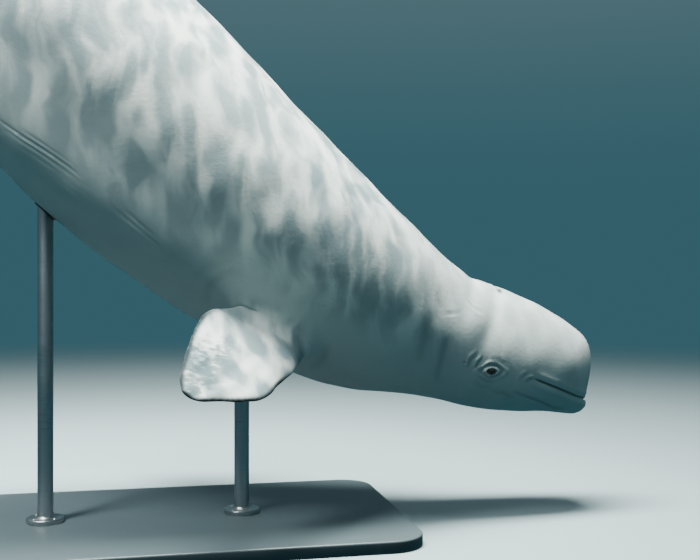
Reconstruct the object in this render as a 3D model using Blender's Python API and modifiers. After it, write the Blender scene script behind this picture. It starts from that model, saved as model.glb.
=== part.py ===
"""A life-size adult beluga whale, diving gently with its head raised, on a plain display stand.

Run with: blender --background --python part.py

The frame is in metres with +Z up. The origin is the centre of the stand base's underside. The whale
faces +X, so its right side looks towards -Y. But for the pose of the flippers, it is symmetric about
the plane Y = 0.

The body is one loft. A backbone line starts at the front of the lips, runs back along the mouth and
ends in the notch of the flukes. Each station on it has a height above the line, a depth below it and
a half width. The flippers and the flukes are lofts too. All are joined, and then parted by thin cuts.
"""

from math import cos, pi, radians, sin

import bmesh
import bpy
import numpy as np
from mathutils import Matrix, Vector

# The overall sizes, in metres
BODY_LENGTH = 4.30  # lips to the notch of the flukes, along the backbone line
CHIN_CLEARANCE = 0.35  # floor to chin
LIPS_FORWARD = 1.60  # lips ahead of the middle of the stand
GAP = 0.0003  # between parts that touch

# The course of the backbone line: distance from the lips, and how steeply it dives, in degrees
DIVE = (
    (0.00, 24),
    (0.28, 21),
    (0.62, 27),
    (0.95, 36),
    (1.35, 43),
    (2.20, 44),
    (2.80, 38),
    (3.40, 26),
    (3.90, 13),
    (4.30, 7),
)

# Stations of the body: name, then distance from the lips and height of the back line, distance and
# depth of the belly line, half width, pear (wider below when above 0), keel (boxy when below 0)
STATIONS = (
    ("lips", 0.031, 0.024, 0.000, 0.021, 0.026, -0.04, -0.04),
    ("chin", 0.056, 0.062, 0.003, 0.044, 0.041, -0.06, -0.04),
    ("upper lip", 0.068, 0.115, 0.015, 0.058, 0.057, -0.06, -0.05),
    ("melon front", 0.071, 0.166, 0.034, 0.070, 0.079, -0.04, -0.05),
    ("melon brow", 0.094, 0.203, 0.070, 0.082, 0.105, -0.01, -0.05),
    ("melon rise", 0.136, 0.228, 0.122, 0.097, 0.132, 0.02, -0.05),
    ("melon top", 0.205, 0.247, 0.200, 0.120, 0.150, 0.05, -0.05),
    ("mouth corner", 0.300, 0.259, 0.300, 0.152, 0.164, 0.08, -0.04),
    ("melon back", 0.400, 0.264, 0.400, 0.180, 0.174, 0.10, -0.02),
    ("cheek", 0.500, 0.262, 0.500, 0.200, 0.180, 0.09, 0.00),
    ("nape", 0.610, 0.254, 0.610, 0.224, 0.189, 0.06, 0.00),
    ("neck", 0.730, 0.261, 0.730, 0.278, 0.216, 0.04, 0.00),
    ("shoulder", 0.880, 0.281, 0.880, 0.352, 0.272, 0.05, -0.01),
    ("breast", 1.080, 0.300, 1.080, 0.411, 0.335, 0.07, -0.02),
    ("ribs", 1.320, 0.313, 1.320, 0.462, 0.382, 0.08, -0.03),
    ("back", 1.600, 0.316, 1.600, 0.514, 0.408, 0.08, -0.03),
    ("waist", 1.900, 0.318, 1.900, 0.550, 0.418, 0.08, -0.03),
    ("navel", 2.200, 0.311, 2.200, 0.546, 0.412, 0.07, -0.02),
    ("loin", 2.520, 0.292, 2.520, 0.494, 0.376, 0.05, 0.00),
    ("vent", 2.850, 0.262, 2.850, 0.404, 0.312, 0.03, 0.04),
    ("stock front", 3.180, 0.223, 3.180, 0.302, 0.235, 0.00, 0.10),
    ("stock middle", 3.500, 0.178, 3.500, 0.210, 0.160, 0.00, 0.15),
    ("stock back", 3.780, 0.130, 3.780, 0.136, 0.100, 0.00, 0.15),
    ("fluke root", 4.000, 0.085, 4.000, 0.085, 0.068, 0.00, 0.08),
    ("fluke middle", 4.150, 0.050, 4.150, 0.050, 0.050, 0.00, 0.00),
    ("notch", 4.240, 0.024, 4.240, 0.024, 0.034, 0.00, 0.00),
)
LIPS_AHEAD = 0.002  # the point of the lips ahead of the middle between the first station's two lines
TAIL_END = 4.258  # where the body's own loft closes, inside the flukes

# The rings of the loft, and the rows round it from the belly to the back on each side
HEAD_STATION_COUNT = 11  # lips to nape, which need closer rings
RINGS_PER_HEAD_STATION = 3
RINGS_PER_BODY_STATION = 2
ROWS = 22
MOUTH_ROW = 9  # this row follows the mouth
MOUTH_STATIONS = (8.4, 11.5)  # the rows crowd round the mouth as far as the first of these

# The mouth and the lips
GAPE = 0.295  # lips to the corner of the mouth
MOUTH_DROP = 0.010  # how far the mouth line falls below the backbone line
MOUTH_DROP_RUN = (0.01, 0.10)  # the distances between which it does so
JAW_CUT = ((0.0135, 0.0), (0.220, -0.011))  # two points of the cut along the mouth
MOUTH_DEPTH = 0.011
LIP_HALF_GAP = 0.007  # mouth line to the edge of a lip
LIP_CREST = 0.021  # mouth line to the fullest part of a lip
LIP_SWELL = 0.0035

# The forms raised on the body or sunk in it
NAPE_CREASE = 0.628  # distance from the lips
NAPE_CREASE_BREADTH = 0.022
NAPE_CREASE_DEPTH = 0.007
MELON_VALLEY = 0.517  # the hollow behind each side of the melon
MELON_VALLEY_BREADTH = 0.032
MELON_VALLEY_DEPTH = 0.006
DORSAL_RIDGE = (2.10, 3.10)  # the low ridge that stands in for a dorsal fin
DORSAL_RIDGE_HEIGHT = 0.016
FLANK_FOLD = (1.25, 3.00)
FLANK_FOLD_SWELL = 0.014

# The eyes: distance from the lips, height against the backbone line, and their own sizes
EYE = (0.456, -0.042)
EYEBALL_RADIUS = 0.019
EYE_SUNK = 0.0125  # skin to the middle of the eyeball
LID_LENGTH = 0.046
LID_HEIGHT = 0.027
LID_THICK = 0.0060
LID_SUNK = 0.0015  # how far the middle of the lids lies below the skin
LID_TURN = 20  # degrees, front end down against the mouth line

# The blowhole, a crescent open towards the front
BLOWHOLE = 0.520
BLOWHOLE_RADIUS = 0.053
BLOWHOLE_SPAN = 150  # degrees of the crescent
BLOWHOLE_SLIT = 0.0045  # half width of the slit
BLOWHOLE_STEPS = 15
HEAD_CURVE_RADIUS = 0.116  # of the top of the head from side to side, at the blowhole

FIN_FULLNESS_AHEAD = 0.30  # how much thicker a fin is ahead of its middle
CUTTER_REACH = 0.80  # long enough to take in any one fin or the jaw

# The flipper: the place of its root, the way it points in the whale's own frame, and its stations
FLIPPER_ROOT = (1.170, -0.325)  # distance from the lips, height against the backbone line
# The ways that each flipper's length and breadth point: forwards, outwards, upwards
FLIPPER_WAYS = {
    "right": ((-0.03, 0.79, -0.61), (1.00, 0.01, -0.03)),
    "left": ((-0.26, 0.96, 0.02), (0.97, 0.25, 0.00)),
}
FLIPPER_CUT = 0.045  # skin to the cut that parts the flipper from the chest
# Distance out from the root, leading edge ahead of the middle, trailing edge behind it, thickness
FLIPPER_STATIONS = (
    (-0.120, 0.150, 0.078, 0.086),
    (-0.040, 0.150, 0.080, 0.078),
    (0.030, 0.150, 0.094, 0.066),
    (0.090, 0.147, 0.146, 0.053),
    (0.150, 0.136, 0.184, 0.043),
    (0.220, 0.121, 0.193, 0.036),
    (0.290, 0.112, 0.187, 0.030),
    (0.355, 0.079, 0.173, 0.025),
    (0.420, 0.027, 0.158, 0.020),
    (0.475, -0.019, 0.144, 0.016),
    (0.512, -0.050, 0.126, 0.012),
    (0.529, -0.074, 0.112, 0.008),
)
FLIPPER_TIP = (0.534, -0.094)
FLIPPER_HALF_BREADTH = 0.15
FLIPPER_CURL = 0.022  # how far the outer edges curl up
FLIPPER_SIDES = 24

# The flukes: distance out from the middle, leading edge and trailing edge from the lips, thickness
FLUKE_STATIONS = (
    (0.000, 3.880, 4.272, 0.066),
    (0.045, 3.900, 4.304, 0.058),
    (0.110, 3.960, 4.346, 0.046),
    (0.200, 4.035, 4.382, 0.035),
    (0.300, 4.120, 4.386, 0.026),
    (0.390, 4.200, 4.372, 0.019),
    (0.455, 4.265, 4.358, 0.014),
    (0.495, 4.310, 4.350, 0.010),
)
FLUKE_TIP = (0.520, 4.346)
FLUKE_RISE = 0.045  # how far the tips stand above the middle
FLUKE_CUT = (3.870, 0.096)  # the cut that parts a fluke: distance from the lips, and out from the middle
FLUKE_SIDES = 24

# The cuts between the parts of the body: distance from the lips
NECK_FRONT_CUT = 0.640
CHEST_FRONT_CUT = 0.840
TORSO_FRONT_CUT = 1.600
LOIN_FRONT_CUT = 2.330
STOCK_FRONT_CUT = 3.050
MELON_CUT = ((0.010, 0.052), (0.435, 0.272))  # two points of the cut under the melon
JAW_CUT_BACK = 0.330

# The stand
BASE_SIZE = (1.70, 0.96, 0.040)
BASE_CORNER = 0.12
BASE_EDGE = 0.006
ROD_RADIUS = 0.026
# Each rod: its name, its place along X from the middle of the base, and the part that it carries
RODS = (("front", 0.30, "chest"), ("rear", -0.36, "torso"))
ROD_SUNK = 0.090  # how far a rod runs up into the belly
COLLAR_RADIUS = 0.062
COLLAR_HEIGHT = 0.022
COLLAR_EDGE = 0.004

# Looks: the colour as linear RGB and alpha, the roughness, and the metallic value
SKIN = ((0.64, 0.66, 0.63, 1.0), 0.42, 0.0)
EYE_BROWN = ((0.020, 0.013, 0.010, 1.0), 0.08, 0.0)
BASE_PAINT = ((0.08, 0.10, 0.11, 1.0), 0.45, 0.0)
ROD_STEEL = ((0.60, 0.61, 0.62, 1.0), 0.30, 1.0)


def clear_scene():
    for old in list(bpy.data.objects):
        bpy.data.objects.remove(old)


def collection(name):
    made = bpy.data.collections.new(name)
    bpy.context.scene.collection.children.link(made)
    return made


def material(name, look):
    colour, roughness, metallic = look
    made = bpy.data.materials.new(name)
    made.use_nodes = True
    shader = made.node_tree.nodes["Principled BSDF"]
    shader.inputs["Base Color"].default_value = colour
    shader.inputs["Roughness"].default_value = roughness
    shader.inputs["Metallic"].default_value = metallic
    made.diffuse_color = colour
    return made


def natural_spline(knots, values, at):
    """The natural cubic spline through (knots, values), read at the places in at."""
    knots, values, at = (np.asarray(x, float) for x in (knots, values, at))
    step = np.diff(knots)
    count = len(knots)
    system = np.eye(count)
    right = np.zeros(count)
    for i in range(1, count - 1):
        system[i, i - 1 : i + 2] = step[i - 1], 2 * (step[i - 1] + step[i]), step[i]
        right[i] = 6 * ((values[i + 1] - values[i]) / step[i] - (values[i] - values[i - 1]) / step[i - 1])
    bend = np.linalg.solve(system, right)
    k = np.clip(np.searchsorted(knots, at) - 1, 0, count - 2)
    t, h = at - knots[k], step[k]
    slope = (values[k + 1] - values[k]) / h - h * (2 * bend[k] + bend[k + 1]) / 6
    return values[k] + t * slope + t**2 * bend[k] / 2 + t**3 * (bend[k + 1] - bend[k]) / (6 * h)


def smooth_step(low, high, x):
    t = np.clip((x - low) / (high - low), 0, 1)
    return t * t * (3 - 2 * t)


def hump(middle, half_width, x):
    return np.exp(-(((x - middle) / half_width) ** 2))


class Backbone:
    """The backbone line: a plane curve whose dive angle is a smooth function of the distance from the lips."""

    STEP = 0.002
    OVERRUN = 0.16  # past both ends, for the lower lip and the trailing edges of the flukes

    def __init__(self):
        self.distance = np.arange(-self.OVERRUN, BODY_LENGTH + self.OVERRUN, self.STEP)
        places, angles = zip(*DIVE)
        inside = np.clip(self.distance, 0, BODY_LENGTH)
        self.dive = np.radians(natural_spline(places, angles, inside))
        line = np.cumsum(np.stack([-np.cos(self.dive), np.sin(self.dive)], 1) * self.STEP, 0)
        start = np.argmin(np.abs(self.distance))
        self.line = line - line[start]
        self.lips = np.zeros(2)

    def at(self, distance, height):
        """(x, z) of a point at this distance from the lips and this height above the line."""
        dive = np.interp(distance, self.distance, self.dive)
        x = np.interp(distance, self.distance, self.line[:, 0]) + height * np.sin(dive)
        z = np.interp(distance, self.distance, self.line[:, 1]) + height * np.cos(dive)
        return x + self.lips[0], z + self.lips[1]

    def point(self, distance, height, out=0.0):
        x, z = self.at(distance, height)
        return Vector((float(x), -out, float(z)))

    def ways(self, distance):
        """The whale's own forward, outward (right side) and upward directions at this distance."""
        dive = float(np.interp(distance, self.distance, self.dive))
        return Vector((cos(dive), 0, -sin(dive))), Vector((0, -1, 0)), Vector((sin(dive), 0, cos(dive)))


backbone = Backbone()
CHIN = (0.0, -0.056)
backbone.lips = np.array([LIPS_FORWARD, CHIN_CLEARANCE - backbone.at(*CHIN)[1]])


def station_values(index):
    """The seven sizes of the body's section at these station numbers; 0 is the point of the lips.

    The back line and the belly line meet there in one smooth curve, so each column is continued past
    0 by its mirror image: even for the distances, odd for the half width, and swapped for the heights.
    """
    rows = np.array([row[1:] for row in STATIONS])
    back, rise, belly, fall, width, pear, keel = rows.T
    knots = np.arange(-len(rows), len(rows) + 1)
    start = 0.5 * (back[0] + belly[0]) - LIPS_AHEAD

    def outline(ahead, behind, at_zero):
        return natural_spline(knots, np.concatenate([behind[::-1], [at_zero], ahead]), index)

    return (
        outline(back, belly, start),
        outline(rise, -fall, 0.0),
        outline(belly, back, start),
        outline(fall, -rise, 0.0),
        outline(width, -width, 0.0),
        outline(pear, pear, pear[0]),
        outline(keel, keel, keel[0]),
    )


def mouth_height(distance):
    """The height of the mouth line against the backbone line."""
    return -MOUTH_DROP * smooth_step(*MOUTH_DROP_RUN, distance)


def section(index, angle):
    """Points of the body's surface, and their (distance, height), at station numbers and angles.

    The angle runs from 0 on the belly line to pi on the back line. A section stands on the chord
    between those lines and bulges out sideways as a sine, changed by the pear and keel amounts.
    """
    back, rise, belly, fall, width, pear, keel = station_values(index)
    share = (1 - np.cos(angle)) / 2
    distance = belly + (back - belly) * share
    height = -fall + (rise + fall) * share
    side = np.sin(angle)
    out = width * side * (1 + pear * np.cos(angle)) * (1 + keel * side**2) / (1 + keel)
    x, z = backbone.at(distance, height)
    return np.stack([x, -out, z], -1), distance, height


def row_angles(index):
    """The angles of the rows on one side, for each ring: a row on the mouth, others crowded to it."""
    back, rise, belly, fall, width, _, _ = station_values(index)
    radius = np.sqrt(np.maximum(width * (rise + fall) / 2, 1e-8))
    near = 1 - smooth_step(*MOUTH_STATIONS, index)
    over_belly = fall + mouth_height((back + belly) / 2)
    mouth = np.arccos(np.clip(1 - 2 * over_belly / np.maximum(rise + fall, 1e-9), -1, 1))
    even = pi * MOUTH_ROW / ROWS
    mouth = near * mouth + (1 - near) * even
    angles = np.zeros((len(index), ROWS + 1))
    for row in range(ROWS + 1):
        below = row <= MOUTH_ROW
        count = MOUTH_ROW if below else ROWS - MOUTH_ROW
        room = mouth if below else pi - mouth
        away = abs(MOUTH_ROW - row)
        edge = np.minimum(LIP_HALF_GAP / radius, room / count)
        crest = np.minimum(LIP_CREST / radius, 2 * room / count)
        crowded = (0, edge, crest)[away] if away < 3 else crest + (room - crest) * (away - 2) / (count - 2)
        offset = near * crowded + (1 - near) * room * away / count
        angles[:, row] = mouth - offset if below else mouth + offset
    return angles


def relief(angle, distance, height):
    """How far the surface stands out from the plain section: lips, folds, creases and the ridge."""
    top = angle / pi  # 0 on the belly line, 1 on the back line
    away = np.abs(height - mouth_height(distance))
    in_mouth = 1 - smooth_step(GAPE - 0.035, GAPE + 0.01, distance)
    groove = MOUTH_DEPTH * np.clip(1 - away / LIP_HALF_GAP, 0, 1)
    raised = in_mouth * (LIP_SWELL * hump(LIP_CREST, LIP_CREST / 2, away) - groove)
    crease = hump(NAPE_CREASE, NAPE_CREASE_BREADTH, distance) * smooth_step(0.50, 0.85, top)
    raised = raised - NAPE_CREASE_DEPTH * crease
    sides = smooth_step(0.42, 0.60, top) * (1 - smooth_step(0.84, 0.97, top))
    raised = raised - MELON_VALLEY_DEPTH * hump(MELON_VALLEY, MELON_VALLEY_BREADTH, distance) * sides
    front, rear = DORSAL_RIDGE
    along = smooth_step(front, front + 0.45, distance) * (1 - smooth_step(rear - 0.45, rear, distance))
    raised = raised + DORSAL_RIDGE_HEIGHT * along * hump(1.0, 0.045, top)
    front, rear = FLANK_FOLD
    along = smooth_step(front, front + 0.5, distance) * (1 - smooth_step(rear - 0.7, rear, distance))
    return raised + FLANK_FOLD_SWELL * along * (hump(0.235, 0.075, top) - 0.6 * hump(0.37, 0.05, top))


def outward_normals(points):
    """Unit normals of the right side's grid, from the differences along and across it.

    On the belly line and the back line, the first and last rows, they stay in the plane Y = 0.
    """
    normal = np.cross(np.gradient(points, axis=0), np.gradient(points, axis=1))
    normal[:, [0, -1], 1] = 0
    normal /= np.linalg.norm(normal, axis=-1, keepdims=True)
    return normal if normal[..., 1].sum() < 0 else -normal


def body_half():
    """The grid of the body's right side, from the belly line to the back line, with its relief."""
    last = len(STATIONS)
    head = np.linspace(0, HEAD_STATION_COUNT, HEAD_STATION_COUNT * RINGS_PER_HEAD_STATION + 1)[1:]
    rest = last - HEAD_STATION_COUNT
    body = np.linspace(HEAD_STATION_COUNT, last, rest * RINGS_PER_BODY_STATION + 1)[1:]
    index = np.concatenate([head, body])
    angle = row_angles(index)
    points, distance, height = section(index[:, None], angle)
    points = points + outward_normals(points) * relief(angle, distance, height)[..., None]
    points[:, [0, -1], 1] = 0
    return points


def loft(name, rings, first_pole=None, last_pole=None, mirrored_split=False):
    """A closed mesh over rings of points (rings, sides, 3), closed at each end by a pole or a cap.

    With mirrored_split the four-sided faces become triangles that lie alike on the upper and the lower
    half of the ring, so that a thin, curved fin keeps its two faces apart.
    """
    count, sides = rings.shape[:2]
    mesh = bpy.data.meshes.new(name)
    build = bmesh.new()
    grid = [[build.verts.new(point) for point in ring] for ring in rings]
    for i in range(count - 1):
        for j in range(sides):
            k = (j + 1) % sides
            a, b, c, d = grid[i][j], grid[i][k], grid[i + 1][k], grid[i + 1][j]
            if not mirrored_split:
                build.faces.new((a, b, c, d))
            elif j < sides // 2:
                build.faces.new((a, b, c))
                build.faces.new((a, c, d))
            else:
                build.faces.new((a, b, d))
                build.faces.new((b, c, d))
    for ring, pole in ((grid[0], first_pole), (grid[-1], last_pole)):
        if pole is None:
            build.faces.new(ring)
            continue
        tip = build.verts.new(pole)
        for j in range(sides):
            build.faces.new((ring[j], ring[(j + 1) % sides], tip))
    bmesh.ops.recalc_face_normals(build, faces=build.faces)
    build.to_mesh(mesh)
    build.free()
    return bpy.data.objects.new(name, mesh)


def make_body():
    half = body_half()
    mirrored = half[:, -2:0:-1] * [1, -1, 1]
    rings = np.concatenate([half, mirrored], 1)
    start, *_ = section(np.array([0.0]), np.array([0.0]))
    lips = Vector(start[0]) - backbone.ways(0.0)[0] * MOUTH_DEPTH
    return loft("body", rings, first_pole=lips, last_pole=backbone.point(TAIL_END, 0.0))


def skin_at(distance, height):
    """The point of the right side's plain surface at a distance and height, and its outward normal."""
    index = np.linspace(0.5, len(STATIONS), 2000)
    middle = station_values(index)
    found = np.interp(distance, 0.5 * (middle[0] + middle[2]), index)
    _, rise, _, fall, *_ = station_values(np.array([found]))
    angle = float(np.arccos(1 - 2 * (height + fall[0]) / (rise[0] + fall[0])))
    small = 0.02
    around = np.array([[found, angle], [found + small, angle], [found, angle + small]])
    points, *_ = section(around[:, 0], around[:, 1])
    normal = Vector(np.cross(points[1] - points[0], points[2] - points[0])).normalized()
    if normal.y > 0:
        normal.negate()
    return Vector(points[0]), normal


def fin_section(angle, lead, trail, thick):
    """(chord, rise) of a fin's section: an ellipse, thicker ahead of its middle, with round edges."""
    middle, half = (lead - trail) / 2, (lead + trail) / 2
    chord = middle + half * np.cos(angle)
    rise = thick / 2 * np.sin(angle) * (1 + FIN_FULLNESS_AHEAD * np.cos(angle))
    return chord, rise


def fin_way(distance, given):
    """A direction given in the whale's own frame at this distance from the lips, in the world's."""
    return sum((way * part for way, part in zip(backbone.ways(distance), given)), Vector()).normalized()


def make_flipper(side):
    """A flipper, a paddle with a narrow root and a slanted end, whose outer edges curl up a little."""
    turn = Vector((1, 1 if side == "right" else -1, 1))
    span, chord_way = (fin_way(FLIPPER_ROOT[0], way) * turn for way in FLIPPER_WAYS[side])
    chord_way = (chord_way - span * chord_way.dot(span)).normalized()
    up = span.cross(chord_way)
    if up.z < 0:
        up.negate()
    frame = np.array([span, chord_way, up])
    origin = np.array(skin_at(*FLIPPER_ROOT)[0] * turn)
    count = len(FLIPPER_STATIONS)
    index = np.linspace(0, count - 1, 2 * count - 1)
    knots = np.arange(count)
    out, lead, trail, thick = (natural_spline(knots, c, index) for c in np.array(FLIPPER_STATIONS).T)
    angle = np.linspace(0, 2 * pi, FLIPPER_SIDES, endpoint=False)[None, :]
    chord, rise = fin_section(angle, lead[:, None], trail[:, None], thick[:, None])
    share = np.clip(out / FLIPPER_TIP[0], 0, 1)[:, None]
    across = (chord - chord.mean(1, keepdims=True)) / FLIPPER_HALF_BREADTH
    rise = rise + FLIPPER_CURL * share**2 * (0.5 + 0.5 * across**2)
    local = np.stack([np.broadcast_to(out[:, None], chord.shape), chord, rise], -1)
    tip = np.array([*FLIPPER_TIP, 0.5 * FLIPPER_CURL])
    return loft(f"flipper_{side}", local @ frame + origin, last_pole=tip @ frame + origin, mirrored_split=True)


def make_flukes():
    """Both flukes in one loft from tip to tip, with the notch in the middle of the trailing edge."""
    count = len(FLUKE_STATIONS)
    knots = np.arange(-count + 1, count)
    table = np.array(FLUKE_STATIONS)
    index = np.linspace(-count + 1, count - 1, 4 * count - 3)
    mirror = np.concatenate([table[:0:-1], table])
    mirror[: count - 1, 0] *= -1
    out, lead, trail, thick = (natural_spline(knots, c, index) for c in mirror.T)
    angle = np.linspace(0, 2 * pi, FLUKE_SIDES, endpoint=False)[None, :]
    chord, rise = fin_section(angle, -lead[:, None], trail[:, None], thick[:, None])
    rise = rise + FLUKE_RISE * (out[:, None] / FLUKE_TIP[0]) ** 2
    x, z = backbone.at(-chord, rise)
    rings = np.stack([x, np.broadcast_to(out[:, None], x.shape), z], -1)
    tips = []
    for side in (-1, 1):
        tip = backbone.point(FLUKE_TIP[1], FLUKE_RISE)
        tip.y = side * FLUKE_TIP[0]
        tips.append(tip)
    return loft("flukes", rings, first_pole=tips[0], last_pole=tips[1], mirrored_split=True)


def link(made, where):
    """Puts an object in one collection and takes it out of every other."""
    for old in list(made.users_collection):
        old.objects.unlink(made)
    where.objects.link(made)
    return made


def replace_by_evaluated(made):
    """Applies the modifiers of an object by giving it the mesh that they make."""
    bpy.context.view_layer.update()
    graph = bpy.context.evaluated_depsgraph_get()
    mesh = bpy.data.meshes.new_from_object(made.evaluated_get(graph))
    made.modifiers.clear()
    made.data = mesh


def keep_largest(made):
    """Drops every closed surface of a mesh except the one with the most faces."""
    build = bmesh.new()
    build.from_mesh(made.data)
    left, shells = set(build.verts), []
    while left:
        start = left.pop()
        shell, edge_of_search = {start}, [start]
        while edge_of_search:
            vertex = edge_of_search.pop()
            for edge in vertex.link_edges:
                other = edge.other_vert(vertex)
                if other in left:
                    left.discard(other)
                    shell.add(other)
                    edge_of_search.append(other)
        shells.append(shell)
    largest = max(shells, key=len)
    loose = [vertex for vertex in build.verts if vertex not in largest]
    bmesh.ops.delete(build, geom=loose, context="VERTS")
    build.to_mesh(made.data)
    build.free()


def boolean(made, operation, other):
    """Joins, cuts or intersects a mesh object with another object or with a collection of them."""
    step = made.modifiers.new(operation.title(), "BOOLEAN")
    step.operation = operation
    step.solver = "EXACT"
    if isinstance(other, bpy.types.Collection):
        step.operand_type = "COLLECTION"
        step.collection = other
    else:
        step.object = other
    replace_by_evaluated(made)
    keep_largest(made)
    return made


def copy_of(made, name, where):
    copied = bpy.data.objects.new(name, made.data.copy())
    copied.matrix_world = made.matrix_world
    return link(copied, where)


def remove(made):
    bpy.data.objects.remove(made)


def box_cutter(name, where, corner, ways, lengths):
    """A box from a corner along three directions, as a helper that stays out of the render."""
    bpy.ops.mesh.primitive_cube_add(size=1)
    made = bpy.context.object
    made.name = name
    link(made, where)
    columns = Matrix([way * length for way, length in zip(ways, lengths)]).transposed().to_4x4()
    middle = corner + sum((way * length / 2 for way, length in zip(ways, lengths)), Vector())
    made.data.transform(Matrix.Translation(middle) @ columns)
    if columns.determinant() < 0:
        made.data.flip_normals()
    made.hide_render = True
    made.display_type = "WIRE"
    return made


def keep_side(made, point, way):
    """Cuts a closed mesh by a plane, keeps what lies ahead of it along way, and caps the cut."""
    build = bmesh.new()
    build.from_mesh(made.data)
    everything = build.verts[:] + build.edges[:] + build.faces[:]
    bmesh.ops.bisect_plane(
        build, geom=everything, dist=1e-7, plane_co=point, plane_no=way, clear_inner=True
    )
    rim = [edge for edge in build.edges if edge.is_boundary]
    bmesh.ops.edgeloop_fill(build, edges=rim)
    bmesh.ops.recalc_face_normals(build, faces=build.faces)
    build.to_mesh(made.data)
    build.free()
    return made


def slice_body(whole, name, front, back, where):
    """The stretch of the whale between two cuts across the backbone line, given by their distances."""
    piece = copy_of(whole, name, where)
    if front is not None:
        forward = backbone.ways(front)[0]
        keep_side(piece, backbone.point(front, 0) - forward * GAP / 2, -forward)
    if back is not None:
        forward = backbone.ways(back)[0]
        keep_side(piece, backbone.point(back, 0) + forward * GAP / 2, forward)
    keep_largest(piece)
    return piece


def part_flippers(whale, parts, helpers):
    """Parts both flippers from the whale by a flat cut just outside the skin at their roots."""
    root, normal = skin_at(*FLIPPER_ROOT)
    forward = backbone.ways(FLIPPER_ROOT[0])[0]
    along = (forward - normal * forward.dot(normal)).normalized()
    third = normal.cross(along)
    reach = CUTTER_REACH
    for side, name in ((1, "flipper_right"), (-1, "flipper_left")):
        turn = Vector((1, side, 1))
        ways = [way * turn for way in (normal, along, third)]
        for gap, operation, wanted in ((GAP, "INTERSECT", name), (0, "DIFFERENCE", None)):
            corner = root + normal * (FLIPPER_CUT + gap) - (along + third) * reach / 2
            cutter = box_cutter(f"{name}_cut", helpers, corner * turn, ways, (reach, reach, reach))
            made = copy_of(whale, wanted, parts) if wanted else whale
            boolean(made, operation, cutter)
            remove(cutter)


def part_flukes(whale, parts, helpers):
    """Parts both flukes from the tail stock by upright cuts beside it."""
    start, out = FLUKE_CUT
    forward, _, upward = backbone.ways(BODY_LENGTH)
    reach = CUTTER_REACH
    for side, name in ((-1, "fluke_right"), (1, "fluke_left")):
        ways = (-forward, Vector((0, side, 0)), upward)
        for gap, operation, wanted in ((GAP, "INTERSECT", name), (0, "DIFFERENCE", None)):
            corner = backbone.point(start, -reach / 2)
            corner.y = side * (out + gap)
            cutter = box_cutter(f"{name}_cut", helpers, corner, ways, (reach, reach, reach))
            made = copy_of(whale, wanted, parts) if wanted else whale
            boolean(made, operation, cutter)
            remove(cutter)


def lid_ring(side):
    """The thick lids round one eye: an oval ring that lies on the skin."""
    point, normal = skin_at(*EYE)
    forward = backbone.ways(EYE[0])[0]
    long_way = (forward - normal * forward.dot(normal)).normalized()
    long_way = Matrix.Rotation(radians(LID_TURN), 3, normal) @ long_way
    short_way = normal.cross(long_way)
    bpy.ops.mesh.primitive_torus_add(
        major_segments=28, minor_segments=8, major_radius=LID_LENGTH / 2, minor_radius=LID_THICK
    )
    ring = bpy.context.object
    sunk = point - normal * LID_SUNK
    flat = Matrix.Diagonal((1, LID_HEIGHT / LID_LENGTH, 1, 1))
    turn = Matrix((long_way, short_way, normal)).transposed().to_4x4()
    ring.data.transform(Matrix.Translation(sunk) @ turn @ flat)
    if side < 0:
        ring.data.transform(Matrix.Scale(-1, 4, Vector((0, 1, 0))))
        ring.data.flip_normals()
    return ring


def ball(name, centre, radius, where, segments=24, rings=14):
    bpy.ops.mesh.primitive_uv_sphere_add(segments=segments, ring_count=rings, radius=radius)
    made = bpy.context.object
    made.name = name
    link(made, where)
    made.data.transform(Matrix.Translation(centre))
    return made


def make_eyes(head, parts, helpers):
    """Joins the lids to the head, hollows a socket behind each, and sets an eyeball in it."""
    point, normal = skin_at(*EYE)
    centre = point - normal * EYE_SUNK
    for side, name in ((1, "eye_right"), (-1, "eye_left")):
        lids = lid_ring(side)
        boolean(head, "UNION", lids)
        remove(lids)
        place = Vector((centre.x, side * centre.y, centre.z))
        socket = ball("socket", place, EYEBALL_RADIUS + GAP, helpers)
        boolean(head, "DIFFERENCE", socket)
        remove(socket)
        ball(name, place, EYEBALL_RADIUS, parts)


def mesh_of_curve(wire):
    """A closed mesh of what a curve object makes, with its caps welded to its sides."""
    bpy.context.view_layer.update()
    graph = bpy.context.evaluated_depsgraph_get()
    mesh = bpy.data.meshes.new_from_object(wire.evaluated_get(graph))
    weld = bmesh.new()
    weld.from_mesh(mesh)
    bmesh.ops.remove_doubles(weld, verts=weld.verts, dist=1e-5)
    bmesh.ops.recalc_face_normals(weld, faces=weld.faces)
    weld.to_mesh(mesh)
    weld.free()
    return mesh


def cut_blowhole(head, helpers):
    """Sinks the blowhole as a crescent slit across the top of the head, its horns towards the front."""
    places = [row[1] for row in STATIONS]
    rises = [row[2] for row in STATIONS]
    forward, outward, upward = backbone.ways(BLOWHOLE)
    middle = backbone.point(BLOWHOLE, float(np.interp(BLOWHOLE, places, rises)))
    line = bpy.data.curves.new("blowhole_line", "CURVE")
    line.dimensions = "3D"
    line.bevel_depth = BLOWHOLE_SLIT
    line.bevel_resolution = 2
    line.use_fill_caps = True
    arc = line.splines.new("POLY")
    arc.points.add(BLOWHOLE_STEPS - 1)
    for point, share in zip(arc.points, np.linspace(-1, 1, BLOWHOLE_STEPS)):
        turn = radians(BLOWHOLE_SPAN) / 2 * share
        ahead = BLOWHOLE_RADIUS * (1 - cos(turn)) - BLOWHOLE_SLIT
        out = BLOWHOLE_RADIUS * sin(turn)
        sag = out * out / (2 * HEAD_CURVE_RADIUS)
        point.co = (*(middle + forward * ahead + outward * out - upward * sag), 1)
        point.radius = 1.0 - 0.6 * share**2
    wire = link(bpy.data.objects.new("blowhole_line", line), helpers)
    cutter = link(bpy.data.objects.new("blowhole", mesh_of_curve(wire)), helpers)
    remove(wire)
    boolean(head, "DIFFERENCE", cutter)
    remove(cutter)


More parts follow.
